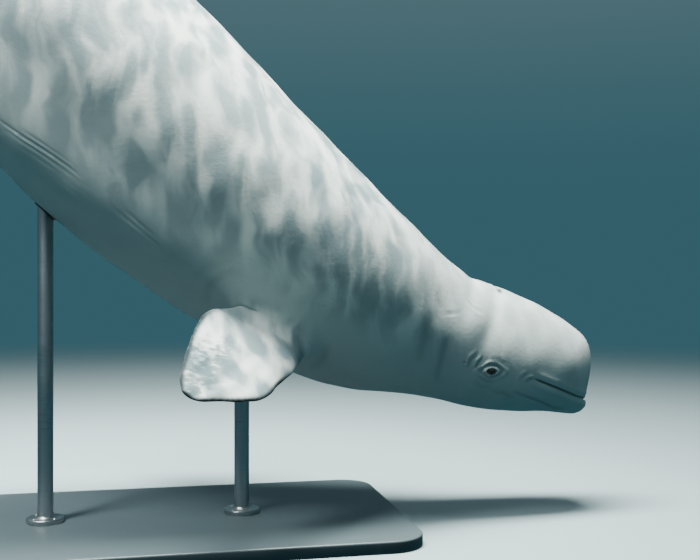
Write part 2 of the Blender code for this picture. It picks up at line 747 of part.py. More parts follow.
def part_jaw(head, parts, helpers):
    """Parts the lower jaw from the head by a flat cut along the mouth and another behind its corner."""
    front = backbone.point(*JAW_CUT[0])
    forward = (front - backbone.point(*JAW_CUT[1])).normalized()
    across = Vector((0, 1, 0))
    upward = forward.cross(across)
    reach = CUTTER_REACH
    for gap, operation, wanted in ((GAP / 2, "INTERSECT", "lower_jaw"), (-GAP / 2, "DIFFERENCE", None)):
        corner = backbone.point(JAW_CUT_BACK, 0.0) + forward * gap - across * reach / 2
        corner += upward * ((front - corner).dot(upward) - gap)
        cutter = box_cutter("jaw_cut", helpers, corner, (forward, across, -upward), (reach,) * 3)
        made = copy_of(head, wanted, parts) if wanted else head
        boolean(made, operation, cutter)
        remove(cutter)


def part_melon(head, parts):
    """Parts the melon, the round forehead, from the head by one flat cut under it."""
    low = backbone.point(*MELON_CUT[0])
    high = backbone.point(*MELON_CUT[1])
    upward = (low - high).cross(Vector((0, 1, 0))).normalized()
    melon = copy_of(head, "melon", parts)
    keep_side(melon, low + upward * GAP / 2, upward)
    keep_largest(melon)
    keep_side(head, low - upward * GAP / 2, -upward)
    keep_largest(head)


def make_whale(parts, helpers):
    """Builds the whole whale and parts it into its named pieces."""
    whale = link(make_body(), helpers)
    fins = collection("fins")
    link(make_flipper("right"), fins)
    link(make_flipper("left"), fins)
    link(make_flukes(), fins)
    boolean(whale, "UNION", fins)
    for fin in list(fins.objects):
        remove(fin)
    bpy.data.collections.remove(fins)
    part_flippers(whale, parts, helpers)
    part_flukes(whale, parts, helpers)
    head = slice_body(whale, "head", None, NECK_FRONT_CUT, parts)
    slice_body(whale, "neck", NECK_FRONT_CUT, CHEST_FRONT_CUT, parts)
    slice_body(whale, "chest", CHEST_FRONT_CUT, TORSO_FRONT_CUT, parts)
    slice_body(whale, "torso", TORSO_FRONT_CUT, LOIN_FRONT_CUT, parts)
    slice_body(whale, "loin", LOIN_FRONT_CUT, STOCK_FRONT_CUT, parts)
    slice_body(whale, "tail_stock", STOCK_FRONT_CUT, None, parts)
    remove(whale)
    make_eyes(head, parts, helpers)
    cut_blowhole(head, helpers)
    part_jaw(head, parts, helpers)
    part_melon(head, parts)


def cylinder(name, radius, bottom, top, x, where, vertices=32):
    bpy.ops.mesh.primitive_cylinder_add(vertices=vertices, radius=radius, depth=top - bottom)
    made = bpy.context.object
    made.name = name
    link(made, where)
    made.location = (x, 0, (top + bottom) / 2)
    return made


def belly_height(x):
    """The height of the belly line above the floor at this place along X."""
    behind_head = np.linspace(HEAD_STATION_COUNT, len(STATIONS) - 3, 800)
    _, _, belly, fall, *_ = station_values(behind_head)
    place, height = backbone.at(belly, -fall)
    order = np.argsort(place)
    return float(np.interp(x, place[order], height[order]))


def make_base(parts):
    """A flat plate with round corners and softened edges."""
    thick = BASE_SIZE[2]
    plate = bmesh.new()
    bmesh.ops.create_cube(plate, size=1)
    bmesh.ops.scale(plate, verts=plate.verts, vec=BASE_SIZE)
    bmesh.ops.translate(plate, verts=plate.verts, vec=(0, 0, thick / 2))
    upright = [e for e in plate.edges if abs(e.verts[0].co.z - e.verts[1].co.z) > thick / 2]
    bmesh.ops.bevel(plate, geom=upright, offset=BASE_CORNER, segments=8, profile=0.5, affect="EDGES")
    mesh = bpy.data.meshes.new("stand_base")
    plate.to_mesh(mesh)
    plate.free()
    soften(link(bpy.data.objects.new("stand_base", mesh), parts), BASE_EDGE)


def make_rod(name, x, carried, parts, helpers):
    """An upright rod that runs a little way into the belly, with a collar round its foot."""
    foot = BASE_SIZE[2] + GAP
    top = belly_height(x) + ROD_SUNK
    hole = cylinder("rod_hole", ROD_RADIUS + GAP, foot, top + GAP, x, helpers)
    boolean(carried, "DIFFERENCE", hole)
    remove(hole)
    rod = cylinder(f"stand_rod_{name}", ROD_RADIUS, foot, top, x, parts)
    rod.data.shade_smooth()
    rod.data.set_sharp_from_angle(angle=radians(40))
    collar = cylinder(f"stand_collar_{name}", COLLAR_RADIUS, foot, foot + COLLAR_HEIGHT, x, parts)
    bore = cylinder("collar_bore", ROD_RADIUS + GAP, 0, 2 * foot + COLLAR_HEIGHT, x, helpers)
    boolean(collar, "DIFFERENCE", bore)
    remove(bore)
    soften(collar, COLLAR_EDGE)


def soften(made, width):
    """Rounds the sharp edges of a made piece."""
    bevel = made.modifiers.new("Bevel", "BEVEL")
    bevel.width = width
    bevel.segments = 2
    bevel.limit_method = "ANGLE"
    bevel.angle_limit = radians(50)


def main():
    clear_scene()
    parts = collection("beluga_whale")
    helpers = collection("cutters")
    make_whale(parts, helpers)
    make_base(parts)
    for name, x, carried in RODS:
        make_rod(name, x, parts.objects[carried], parts, helpers)
    skin = material("whale_skin", SKIN)
    by_prefix = {
        "eye": material("eye_brown", EYE_BROWN),
        "stand_base": material("base_paint", BASE_PAINT),
        "stand_rod": material("rod_steel", ROD_STEEL),
        "stand_collar": material("collar_steel", ROD_STEEL),
    }
    for made in parts.objects:
        found = [look for prefix, look in by_prefix.items() if made.name.startswith(prefix)]
        made.data.materials.clear()
        made.data.materials.append(found[0] if found else skin)
        if not made.name.startswith("stand"):
            made.data.shade_smooth()
            made.data.set_sharp_from_angle(angle=radians(60))


main()
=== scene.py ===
"""The looks of a life-size adult beluga whale on its display stand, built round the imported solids.

Sizes are in metres, in the frame of the solids: +Z up, the origin in the middle of the underside of the
stand's base, and the whale facing +X, so that its right side looks towards -Y.
"""

from math import atan2, pi, radians

import bmesh
import bpy
import numpy as np
from mathutils import Matrix, Vector


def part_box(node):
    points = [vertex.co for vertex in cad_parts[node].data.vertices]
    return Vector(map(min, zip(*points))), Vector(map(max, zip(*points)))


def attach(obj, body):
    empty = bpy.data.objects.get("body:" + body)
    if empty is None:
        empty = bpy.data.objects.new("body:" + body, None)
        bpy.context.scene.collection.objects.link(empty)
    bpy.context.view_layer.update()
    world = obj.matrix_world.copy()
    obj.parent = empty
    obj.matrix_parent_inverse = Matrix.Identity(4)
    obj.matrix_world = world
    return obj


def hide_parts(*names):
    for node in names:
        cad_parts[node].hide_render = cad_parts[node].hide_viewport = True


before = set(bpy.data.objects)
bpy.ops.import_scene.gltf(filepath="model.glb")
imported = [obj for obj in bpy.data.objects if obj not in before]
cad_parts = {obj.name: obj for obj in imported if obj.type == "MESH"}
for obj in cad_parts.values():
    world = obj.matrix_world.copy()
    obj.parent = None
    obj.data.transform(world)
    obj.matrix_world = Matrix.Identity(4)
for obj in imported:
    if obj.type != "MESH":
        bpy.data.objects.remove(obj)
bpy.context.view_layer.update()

# The course of the backbone line: distance from the lips, and how steeply it dives, in degrees
BODY_LENGTH = 4.30
DIVE = np.array([
    (0.00, 24),
    (0.28, 21),
    (0.62, 27),
    (0.95, 36),
    (1.35, 43),
    (2.20, 44),
    (2.80, 38),
    (3.40, 26),
    (3.90, 13),
    (4.30, 7),
])
LIPS = (1.60, 0.40116)  # x and z of the front end of the backbone line

# Stations of the body: distance from the lips and height of the back line, distance and depth of the
# belly line, half width, pear (wider below when above 0), keel (boxy when below 0)
STATIONS = np.array([
    (0.031, 0.024, 0.000, 0.021, 0.026, -0.04, -0.04),  # lips
    (0.056, 0.062, 0.003, 0.044, 0.041, -0.06, -0.04),
    (0.068, 0.115, 0.015, 0.058, 0.057, -0.06, -0.05),
    (0.071, 0.166, 0.034, 0.070, 0.079, -0.04, -0.05),
    (0.094, 0.203, 0.070, 0.082, 0.105, -0.01, -0.05),
    (0.136, 0.228, 0.122, 0.097, 0.132, 0.02, -0.05),
    (0.205, 0.247, 0.200, 0.120, 0.150, 0.05, -0.05),  # top of the melon
    (0.300, 0.259, 0.300, 0.152, 0.164, 0.08, -0.04),
    (0.400, 0.264, 0.400, 0.180, 0.174, 0.10, -0.02),
    (0.500, 0.262, 0.500, 0.200, 0.180, 0.09, 0.00),
    (0.610, 0.254, 0.610, 0.224, 0.189, 0.06, 0.00),  # nape
    (0.730, 0.261, 0.730, 0.278, 0.216, 0.04, 0.00),
    (0.880, 0.281, 0.880, 0.352, 0.272, 0.05, -0.01),
    (1.080, 0.300, 1.080, 0.411, 0.335, 0.07, -0.02),
    (1.320, 0.313, 1.320, 0.462, 0.382, 0.08, -0.03),
    (1.600, 0.316, 1.600, 0.514, 0.408, 0.08, -0.03),
    (1.900, 0.318, 1.900, 0.550, 0.418, 0.08, -0.03),
    (2.200, 0.311, 2.200, 0.546, 0.412, 0.07, -0.02),  # navel
    (2.520, 0.292, 2.520, 0.494, 0.376, 0.05, 0.00),
    (2.850, 0.262, 2.850, 0.404, 0.312, 0.03, 0.04),
    (3.180, 0.223, 3.180, 0.302, 0.235, 0.00, 0.10),
    (3.500, 0.178, 3.500, 0.210, 0.160, 0.00, 0.15),
    (3.780, 0.130, 3.780, 0.136, 0.100, 0.00, 0.15),
    (4.000, 0.085, 4.000, 0.085, 0.068, 0.00, 0.08),
    (4.150, 0.050, 4.150, 0.050, 0.050, 0.00, 0.00),
    (4.240, 0.024, 4.240, 0.024, 0.034, 0.00, 0.00),  # notch of the flukes
])
LIPS_AHEAD = 0.002
TAIL_END = 4.258

# The mouth, the eyes and the blowhole
GAPE = 0.295
MOUTH_DROP = 0.010  # how far the mouth line falls below the backbone line
MOUTH_DEPTH = 0.011
LIP_HALF_GAP = 0.0055
LIP_CREST = 0.021
LIP_SWELL = 0.0022
EYE = (0.456, -0.042)
EYEBALL_RADIUS = 0.019
EYE_SUNK = 0.0125
LID_LENGTH = 0.046
LID_HEIGHT = 0.027
LID_TURN = 20
BLOWHOLE = 0.520
BLOWHOLE_RADIUS = 0.053
BLOWHOLE_SPAN = 150

# The fins
FIN_FULLNESS_AHEAD = 0.30
FLIPPER_ROOT = (1.170, -0.325)
FLIPPER_WAYS = {
    "right": ((-0.03, 0.79, -0.61), (1.00, 0.01, -0.03)),
    "left": ((-0.26, 0.96, 0.02), (0.97, 0.25, 0.00)),
}
# Distance out from the root, leading edge ahead of the middle, trailing edge behind it, thickness
FLIPPER_STATIONS = np.array([
    (-0.120, 0.150, 0.078, 0.086),
    (-0.040, 0.150, 0.080, 0.078),
    (0.030, 0.150, 0.094, 0.066),
    (0.090, 0.147, 0.146, 0.053),
    (0.150, 0.136, 0.184, 0.043),
    (0.220, 0.121, 0.193, 0.036),
    (0.290, 0.112, 0.187, 0.030),
    (0.355, 0.079, 0.173, 0.025),
    (0.420, 0.027, 0.158, 0.020),
    (0.475, -0.019, 0.144, 0.016),
    (0.512, -0.050, 0.126, 0.012),
    (0.529, -0.074, 0.112, 0.008),
])
FLIPPER_TIP = (0.534, -0.094)
FLIPPER_HALF_BREADTH = 0.15
FLIPPER_CURL = 0.022
# Distance out from the middle, leading edge and trailing edge from the lips, thickness
FLUKE_STATIONS = np.array([
    (0.000, 3.880, 4.272, 0.066),
    (0.045, 3.900, 4.304, 0.058),
    (0.110, 3.960, 4.346, 0.046),
    (0.200, 4.035, 4.382, 0.035),
    (0.300, 4.120, 4.386, 0.026),
    (0.390, 4.200, 4.372, 0.019),
    (0.455, 4.265, 4.358, 0.014),
    (0.495, 4.310, 4.350, 0.010),
])
FLUKE_TIP = (0.520, 4.346)
FLUKE_RISE = 0.045

# The fineness of the skin
ROWS_A_SIDE = 106
RINGS = 400
FIN_SIDES = 72
FLIPPER_RINGS = 56
FLUKE_RINGS = 120
FLIPPER_BLEND = 0.075  # how broadly the skin runs from the body into a flipper
FLUKE_BLEND = 0.060


def smooth_step(low, high, x):
    t = np.clip((x - low) / (high - low), 0, 1)
    return t * t * (3 - 2 * t)


def hump(middle, half_width, x):
    return np.exp(-(((x - middle) / half_width) ** 2))


def unit(vectors):
    return vectors / np.maximum(np.linalg.norm(vectors, axis=-1, keepdims=True), 1e-12)


def natural_spline(knots, values, at):
    """The natural cubic spline through (knots, values), read at the places in at."""
    knots, values, at = (np.asarray(x, float) for x in (knots, values, at))
    step = np.diff(knots)
    count = len(knots)
    system = np.eye(count)
    inner = np.arange(1, count - 1)
    system[inner, inner - 1] = step[:-1]
    system[inner, inner] = 2 * (step[:-1] + step[1:])
    system[inner, inner + 1] = step[1:]
    slopes = np.diff(values) / step
    right = np.zeros(count)
    right[1:-1] = 6 * np.diff(slopes)
    bend = np.linalg.solve(system, right)
    k = np.clip(np.searchsorted(knots, at) - 1, 0, count - 2)
    t, h = at - knots[k], step[k]
    slope = slopes[k] - h * (2 * bend[k] + bend[k + 1]) / 6
    return values[k] + t * slope + t**2 * bend[k] / 2 + t**3 * (bend[k + 1] - bend[k]) / (6 * h)


class Backbone:
    """The backbone line, a plane curve: its slope is a spline of the distance from the lips, and its
    points are the running sum of short steps along that slope."""

    STEP = 0.002
    OVERRUN = 0.16

    def __init__(self):
        self.distance = np.arange(-self.OVERRUN, BODY_LENGTH + self.OVERRUN, self.STEP)
        self.dive = np.radians(natural_spline(DIVE[:, 0], DIVE[:, 1], np.clip(self.distance, 0, BODY_LENGTH)))
        line = np.cumsum(np.stack([-np.cos(self.dive), np.sin(self.dive)], 1) * self.STEP, 0)
        self.line = line - line[np.argmin(np.abs(self.distance))] + LIPS

    def slope(self, distance):
        return np.interp(distance, self.distance, self.dive)

    def at(self, distance, height):
        """(x, z) at a distance from the lips and a height above the line."""
        dive = self.slope(distance)
        x = np.interp(distance, self.distance, self.line[:, 0]) + height * np.sin(dive)
        z = np.interp(distance, self.distance, self.line[:, 1]) + height * np.cos(dive)
        return x, z

    def ways(self, distance):
        """The whale's own forward, outward (right side) and upward directions at a distance."""
        dive = float(self.slope(distance))
        forward = np.array([np.cos(dive), 0, -np.sin(dive)])
        return forward, np.array([0.0, -1.0, 0.0]), np.array([np.sin(dive), 0, np.cos(dive)])

    def place(self, points):
        """(distance, height) of points: the nearest of coarse samples of the line, then steps along it."""
        samples = np.linspace(0, len(self.distance) - 1, 240).astype(int)
        distance = np.empty(len(points))
        flat = points[:, [0, 2]]
        for part in np.array_split(np.arange(len(points)), max(1, len(points) // 8000)):
            gaps = ((flat[part, None, :] - self.line[None, samples]) ** 2).sum(-1)
            distance[part] = self.distance[samples[np.argmin(gaps, 1)]]
        for _ in range(6):
            x, z = self.at(distance, 0.0)
            dive = self.slope(distance)
            distance = distance - ((flat[:, 0] - x) * np.cos(dive) - (flat[:, 1] - z) * np.sin(dive))
            distance = np.clip(distance, self.distance[0], self.distance[-1])
        x, z = self.at(distance, 0.0)
        dive = self.slope(distance)
        return distance, (flat[:, 0] - x) * np.sin(dive) + (flat[:, 1] - z) * np.cos(dive)


BACKBONE = Backbone()


def station_values(index):
    """The seven sizes of the body's section at station numbers, with 0 at the point of the lips.

    Each column is a spline, continued past 0 by its mirror image: even for the distances, odd for the
    half width, and swapped for the heights, so that back and belly meet there in one smooth curve.
    """
    back, rise, belly, fall, width, pear, keel = STATIONS.T
    knots = np.arange(-len(STATIONS), len(STATIONS) + 1)
    start = 0.5 * (back[0] + belly[0]) - LIPS_AHEAD
    columns = (
        (back, belly, start),
        (rise, -fall, 0.0),
        (belly, back, start),
        (fall, -rise, 0.0),
        (width, -width, 0.0),
        (pear, pear, pear[0]),
        (keel, keel, keel[0]),
    )
    return [natural_spline(knots, np.concatenate([past[::-1], [zero], ahead]), index) for ahead, past, zero in columns]


def mouth_height(distance):
    """The height of the mouth line against the backbone line."""
    return -MOUTH_DROP * smooth_step(0.01, 0.10, distance)


def section(index, angle):
    """Points of the right side's plain surface and their (distance, height).

    The angle runs from 0 on the belly line to pi on the back line. The height follows its cosine
    between the two lines, and the width is the half width times its sine, changed by pear and keel.
    """
    back, rise, belly, fall, width, pear, keel = station_values(index)
    share = (1 - np.cos(angle)) / 2
    distance = belly + (back - belly) * share
    height = -fall + (rise + fall) * share
    side = np.sin(angle)
    out = width * side * (1 + pear * np.cos(angle)) * (1 + keel * side**2) / (1 + keel)
    x, z = BACKBONE.at(distance, height)
    return np.stack([x, -out, z], -1), distance, height


def spread(density, count):
    """Places from 0 to 1, count steps apart, as close together as the density asks (rows of samples)."""
    density = np.atleast_2d(density)
    total = np.concatenate([np.zeros((len(density), 1)), np.cumsum((density[:, 1:] + density[:, :-1]) / 2, 1)], 1)
    total /= total[:, -1:]
    at = np.linspace(0, 1, count + 1)
    samples = np.linspace(0, 1, density.shape[1])
    return np.stack([np.interp(at, row, samples) for row in total])


def ring_places():
    """Station numbers of the rings: closest at the lips, the eye and the blowhole, then on the neck."""
    last = len(STATIONS)
    fine = np.linspace(0, last, 6001)
    lines = [section(fine, np.full_like(fine, angle))[0] for angle in (0.0, 0.45 * pi, pi)]
    length = sum(np.linalg.norm(np.diff(line, axis=0), axis=1) for line in lines) / 3
    length = np.concatenate([[0], np.cumsum(length)])
    even = np.linspace(0, length[-1], 6001)
    index = np.interp(even, length, fine)
    values = station_values(index)
    distance = (values[0] + values[2]) / 2
    head = 1 - smooth_step(0.55, 0.80, distance)
    root = smooth_step(0.85, 1.00, distance) * (1 - smooth_step(1.38, 1.60, distance))
    tail = smooth_step(3.70, 3.85, distance)
    density = 1 + 4.6 * head + 1.6 * root + 1.5 * tail + 8 * hump(0.478, 0.045, distance)
    return np.interp(spread(density, RINGS)[0], np.linspace(0, 1, len(even)), index)[1:]


def row_angles(index):
    """Angles of the rows of each ring: close together along the mouth and at the eye, on the head's
    middle line at the blowhole and along the fold of the flank, even elsewhere."""
    back, rise, belly, fall, width, _, _ = station_values(index)
    distance = (back + belly) / 2
    eye_drop = (EYE[1] + MOUTH_DROP) * smooth_step(GAPE - 0.02, EYE[0], distance)
    line = mouth_height(distance) + eye_drop
    line = line * (1 - smooth_step(0.60, 1.10, distance))
    share = np.clip((line + fall) / np.maximum(rise + fall, 1e-9), 0, 1)
    middle = np.arccos(1 - 2 * share)
    radius = np.sqrt(np.maximum(width * (rise + fall) / 2, 1e-8))
    angle = np.linspace(0, pi, 1201)[None, :]
    close = 1 - smooth_step(0.52, 0.95, distance)
    band = np.maximum(0.020 / radius, 0.05)[:, None]
    crowd = 4.2 * close[:, None] * np.exp(-(((angle - middle[:, None]) / band) ** 2))
    top = 3.0 * hump(BLOWHOLE, 0.12, distance)[:, None] * np.exp(-(((angle - pi) / 0.45) ** 2))
    fold = np.interp(distance, FLANK_FOLD[::-1, 0], FLANK_FOLD[::-1, 1])
    share = np.clip((fold + fall) / np.maximum(rise + fall, 1e-9), 0, 1)
    there = smooth_step(1.45, 1.65, distance) * (1 - smooth_step(2.25, 2.50, distance))
    off_fold = angle - np.arccos(1 - 2 * share)[:, None]
    creased = 4.0 * there[:, None] * np.exp(-((off_fold / (0.055 / radius[:, None])) ** 2))
    return spread(1 + crowd + top + creased, ROWS_A_SIDE) * pi


# The long fold low on the flank: distances from the lips and heights
FLANK_FOLD = np.array([
    (2.200, -0.440),
    (2.084, -0.422),
    (1.991, -0.405),
    (1.900, -0.393),
    (1.730, -0.372),
    (1.606, -0.364),
])

# Folds and furrows of the skin, each a line of (distance, height) points on either side of the whale,
# with the depth of its furrow, its half width, and the height of the fold of skin beside it
FURROWS = (
    # nape
    (((0.640, 0.152), (0.618, 0.138), (0.590, 0.131), (0.560, 0.134)), 0.0028, 0.0048, 0.0024),
    (((0.630, 0.168), (0.608, 0.157), (0.585, 0.153)), 0.0018, 0.0045, 0.0014),
    (((0.722, 0.050), (0.700, 0.066), (0.676, 0.083), (0.650, 0.098)), 0.0022, 0.0034, 0.0007),
    (((0.775, 0.150), (0.765, 0.115), (0.745, 0.085), (0.720, 0.062)), 0.0022, 0.0140, 0.0010),
    # neck
    (((0.760, 0.040), (0.750, -0.020), (0.730, -0.080), (0.705, -0.130)), 0.0018, 0.0150, 0.0012),
    (((0.660, 0.000), (0.650, -0.060), (0.630, -0.115), (0.605, -0.160)), 0.0018, 0.0120, 0.0012),
    # jaw and throat
    (((0.351, -0.079), (0.290, -0.078), (0.220, -0.077), (0.142, -0.079), (0.090, -0.066)), 0.0036, 0.0048, 0.0034),
    (((0.420, -0.105), (0.380, -0.098), (0.330, -0.100)), 0.0018, 0.0080, 0.0012),
    # corner of the mouth
    (((0.292, -0.009), (0.309, -0.018), (0.319, -0.036)), 0.0024, 0.0055, 0.0016),
    (((0.325, 0.000), (0.338, -0.016), (0.344, -0.038)), 0.0012, 0.0055, 0.0010),
    # brow, from front to back, and the wrinkles round the eye
    (((0.424, -0.020), (0.452, -0.016), (0.476, -0.023), (0.490, -0.038)), 0.0024, 0.0042, 0.0018),
    (((0.418, 0.000), (0.450, 0.004), (0.482, -0.006)), 0.0018, 0.0050, 0.0016),
    (((0.506, -0.012), (0.514, -0.032), (0.512, -0.056)), 0.0024, 0.0050, 0.0018),
    (((0.530, -0.006), (0.543, -0.032), (0.540, -0.064)), 0.0018, 0.0060, 0.0014),
    (((0.496, -0.076), (0.460, -0.082), (0.428, -0.072)), 0.0024, 0.0048, 0.0018),
    (((0.500, -0.096), (0.460, -0.104), (0.422, -0.092)), 0.0016, 0.0060, 0.0012),
    # the flank's long fold and the thin ones beside it
    (FLANK_FOLD[:4], 0.0020, 0.0034, 0.0004),
    (FLANK_FOLD[4:], 0.0010, 0.0050, 0.0008),
    (((2.150, -0.445), (2.040, -0.427), (1.960, -0.414), (1.905, -0.405)), 0.0013, 0.0031, 0.0002),
    (((2.120, -0.416), (2.030, -0.400), (1.940, -0.386)), 0.0012, 0.0030, 0.0002),
    (((2.090, -0.452), (2.010, -0.437), (1.950, -0.427)), 0.0010, 0.0030, 0.0002),
    (((1.760, -0.392), (1.660, -0.378), (1.560, -0.374)), 0.0010, 0.0050, 0.0008),
    # the thin crease over it, and one above the belly
    (((2.371, -0.139), (2.235, -0.174), (2.140, -0.205), (2.079, -0.231), (2.006, -0.282)), 0.0020, 0.0080, 0.0014),
    (((2.520, -0.300), (2.400, -0.330), (2.290, -0.345)), 0.0024, 0.0140, 0.0016),
    # behind and before the flipper
    (((1.345, -0.250), (1.385, -0.300), (1.390, -0.360), (1.350, -0.405)), 0.0014, 0.0130, 0.0010),
    (((1.400, -0.270), (1.435, -0.320), (1.435, -0.375)), 0.0009, 0.0130, 0.0007),
    (((1.000, -0.250), (0.970, -0.300), (0.980, -0.350)), 0.0018, 0.0120, 0.0012),
)

# Slits on the belly's middle line: distance of the middle from the lips, half length, half width, depth
BELLY_SLITS = (
    (2.190, 0.016, 0.010, 0.008),  # navel
    (2.800, 0.105, 0.009, 0.010),
    (3.010, 0.022, 0.008, 0.009),
)


def beside_line(distance, height, line):
    """Gap to a broken line of (distance, height) points, its sign by side, and the share run along it."""
    line = np.array(line)
    runs = np.linalg.norm(np.diff(line, axis=0), axis=1)
    total = runs.sum()
    gap = np.full(distance.shape, np.inf)
    signed = np.zeros(distance.shape)
    share = np.zeros(distance.shape)
    done = 0.0
    for a, b, run in zip(line[:-1], line[1:], runs):
        way = (b - a) / run
        along = np.clip((distance - a[0]) * way[0] + (height - a[1]) * way[1], 0, run)
        off = np.stack([distance - a[0] - along * way[0], height - a[1] - along * way[1]])
        here = np.hypot(*off)
        closer = here < gap
        gap = np.where(closer, here, gap)
        signed = np.where(closer, np.sign(way[0] * off[1] - way[1] * off[0]) * here, signed)
        share = np.where(closer, (done + along) / total, share)
        done += run
    return gap, signed, share


class Place:
    """Where points lie on the whale: distance, height, y, the share of the way from belly to back, and
    how far out the plain surface of the body lies there."""

    def __init__(self, distance, height, y):
        fine = np.linspace(0, len(STATIONS), 2001)
        values = station_values(fine)
        index = np.interp(distance, (values[0] + values[2]) / 2, fine)
        _, rise, _, fall, width, pear, keel = station_values(index)
        share = np.clip((height + fall) / np.maximum(rise + fall, 1e-9), 0, 1)
        angle = np.arccos(1 - 2 * share)
        side = np.sin(angle)
        self.distance, self.height, self.y, self.top = distance, height, y, angle / pi
        self.plain_y = width * side * (1 + pear * np.cos(angle)) * (1 + keel * side**2) / (1 + keel)


def lips(place):
    """A furrow round the mouth line that narrows to its bottom between fuller lips, with painted shade along it,
    darkest in its back half.
    """
    away = np.abs(place.height - mouth_height(place.distance))
    inside = 1 - smooth_step(GAPE - 0.035, GAPE + 0.010, place.distance)
    furrow = np.clip(1 - away / LIP_HALF_GAP, 0, 1)
    swell = LIP_SWELL * hump(LIP_CREST, LIP_CREST / 2, away)
    back_half = 0.50 + 0.45 * smooth_step(0.05, 0.17, place.distance)
    return inside * (swell - MOUTH_DEPTH * furrow), inside * back_half * furrow**0.8


def eye_frame():
    """The point of the skin over the right eye, its outward normal, and the lids' long and short ways."""
    fine = np.linspace(0.5, len(STATIONS), 2001)
    values = station_values(fine)
    index = np.interp(EYE[0], (values[0] + values[2]) / 2, fine)
    _, rise, _, fall, *_ = station_values(np.array([index]))
    angle = float(np.arccos(1 - 2 * (EYE[1] + fall[0]) / (rise[0] + fall[0])))
    near = np.array([[index, angle], [index + 0.02, angle], [index, angle + 0.02]])
    points, *_ = section(near[:, 0], near[:, 1])
    normal = unit(np.cross(points[1] - points[0], points[2] - points[0]))
    normal = -normal if normal[1] > 0 else normal
    forward = BACKBONE.ways(EYE[0])[0]
    level = unit(forward - normal * (forward @ normal))
    turn = radians(LID_TURN)
    long_way = level * np.cos(turn) + np.cross(normal, level) * np.sin(turn)
    return points[0], normal, long_way, np.cross(normal, long_way)


EYE_POINT, EYE_NORMAL, LID_LONG_WAY, LID_SHORT_WAY = eye_frame()


def eyelids(points):
    """Two thick lids round a sunk opening, on both sides of the head.

    Each point's place in the oval of the lids is its distance from the eye in units of the oval, r. The
    skin rises in a ring at r = 1, drops into the socket inside it, and sinks a little outside it.
    """
    mirrored = points * np.array([1, -1, 1]) * np.where(points[..., 1:2] > 0, 1, 0)
    mirrored = mirrored + points * np.where(points[..., 1:2] > 0, 0, 1)
    away = mirrored - EYE_POINT
    long_way = away @ LID_LONG_WAY / (LID_LENGTH / 2)
    short_way = away @ LID_SHORT_WAY / (LID_HEIGHT / 2)
    pointed = 1 + 0.16 * np.clip(np.abs(long_way), 0, 1.4) ** 3
    radius = np.hypot(long_way, short_way * pointed)
    crest = 0.0048 * hump(1.02, 0.30, radius)
    socket = 0.013 * (1 - smooth_step(0.40, 0.86, radius))
    hollow = 0.0030 * hump(1.75, 0.34, radius)
    puff = 0.0022 * hump(2.35, 0.45, radius)
    # Painted shade in the socket, and more faintly in the hollow round the lids
    dark = 1 - smooth_step(0.55, 1.00, radius)
    return crest - socket - hollow + puff, np.maximum(dark, 0.35 * hump(1.70, 0.25, radius))


def blowhole(place, points):
    """A crescent furrow across the top of the head, its horns forward, with a low rim round it and painted shade in
    it.

    The furrow is where a point's distance from the crescent's centre is nearly the crescent's radius
    and its bearing is within half the span of straight back.
    """
    back = place.distance - (BLOWHOLE - BLOWHOLE_RADIUS)
    radius = np.hypot(back, place.y)
    bearing = np.degrees(np.abs(np.arctan2(place.y, back)))
    ends = 1 - smooth_step(BLOWHOLE_SPAN / 2 - 14, BLOWHOLE_SPAN / 2 + 6, bearing)
    upper = place.height > 0
    width = 0.0050 * (0.5 + 0.5 * np.clip(1 - (bearing / (BLOWHOLE_SPAN / 2)) ** 2, 0, 1))
    width = width + 0.0065 * hump(60.0, 14.0, bearing)
    furrow = ends * np.exp(-(((radius - BLOWHOLE_RADIUS) / width) ** 2)) * upper
    rim = ends * hump(BLOWHOLE_RADIUS + 0.011, 0.007, radius) * upper
    plug = hump(0.0, 0.034, radius) * upper
    # Painted shade in and just beside the crescent furrow
    painted_shade_in_crescent = ends * np.exp(-(((radius - BLOWHOLE_RADIUS) / (2.0 * width)) ** 4)) * upper
    return -0.012 * furrow + 0.0014 * rim + 0.0018 * plug, painted_shade_in_crescent


def nape_and_melon(place):
    """The crease across the nape, the hollow behind each side of the melon, and the fullness behind that."""
    crease = hump(0.628, 0.031, place.distance) * smooth_step(0.50, 0.85, place.top)
    sides = smooth_step(0.42, 0.60, place.top) * (1 - smooth_step(0.84, 0.97, place.top))
    valley = hump(0.517, 0.032, place.distance) * sides
    temple = hump(0.590, 0.045, place.distance) * hump(0.60, 0.10, place.top)
    return 0.004 * temple - 0.006 * crease - 0.007 * valley


def back_ridge(place):
    """The low ridge that stands in for a dorsal fin, with a row of small notches along its crest."""
    along = smooth_step(2.10, 2.55, place.distance) * (1 - smooth_step(2.65, 3.10, place.distance))
    notches = 1 + 0.14 * np.sin(96 * place.distance) * np.sin(31 * place.distance + 1)
    return 0.016 * along * notches * hump(1.0, 0.045, place.top)


def flank_rolls(place):
    """The roll of blubber along each side of the belly, with a shallow trough over it."""
    along = smooth_step(1.25, 1.75, place.distance) * (1 - smooth_step(2.30, 3.00, place.distance))
    return 0.014 * along * (hump(0.235, 0.075, place.top) - 0.6 * hump(0.37, 0.05, place.top))


def soft_waves(points):
    """The slight unevenness of blubber: a few slow sine waves of different directions added up."""
    waves = (
        ((21.0, 9.0, 14.0), 0.4, 0.0009),
        ((-13.0, 17.0, 24.0), 2.1, 0.0008),
        ((33.0, -22.0, 10.0), 4.0, 0.0006),
        ((9.0, 31.0, -29.0), 1.2, 0.0005),
        ((-44.0, 12.0, 37.0), 3.3, 0.0004),
    )
    return sum(size * np.sin(points @ np.array(way) + start) for way, start, size in waves)


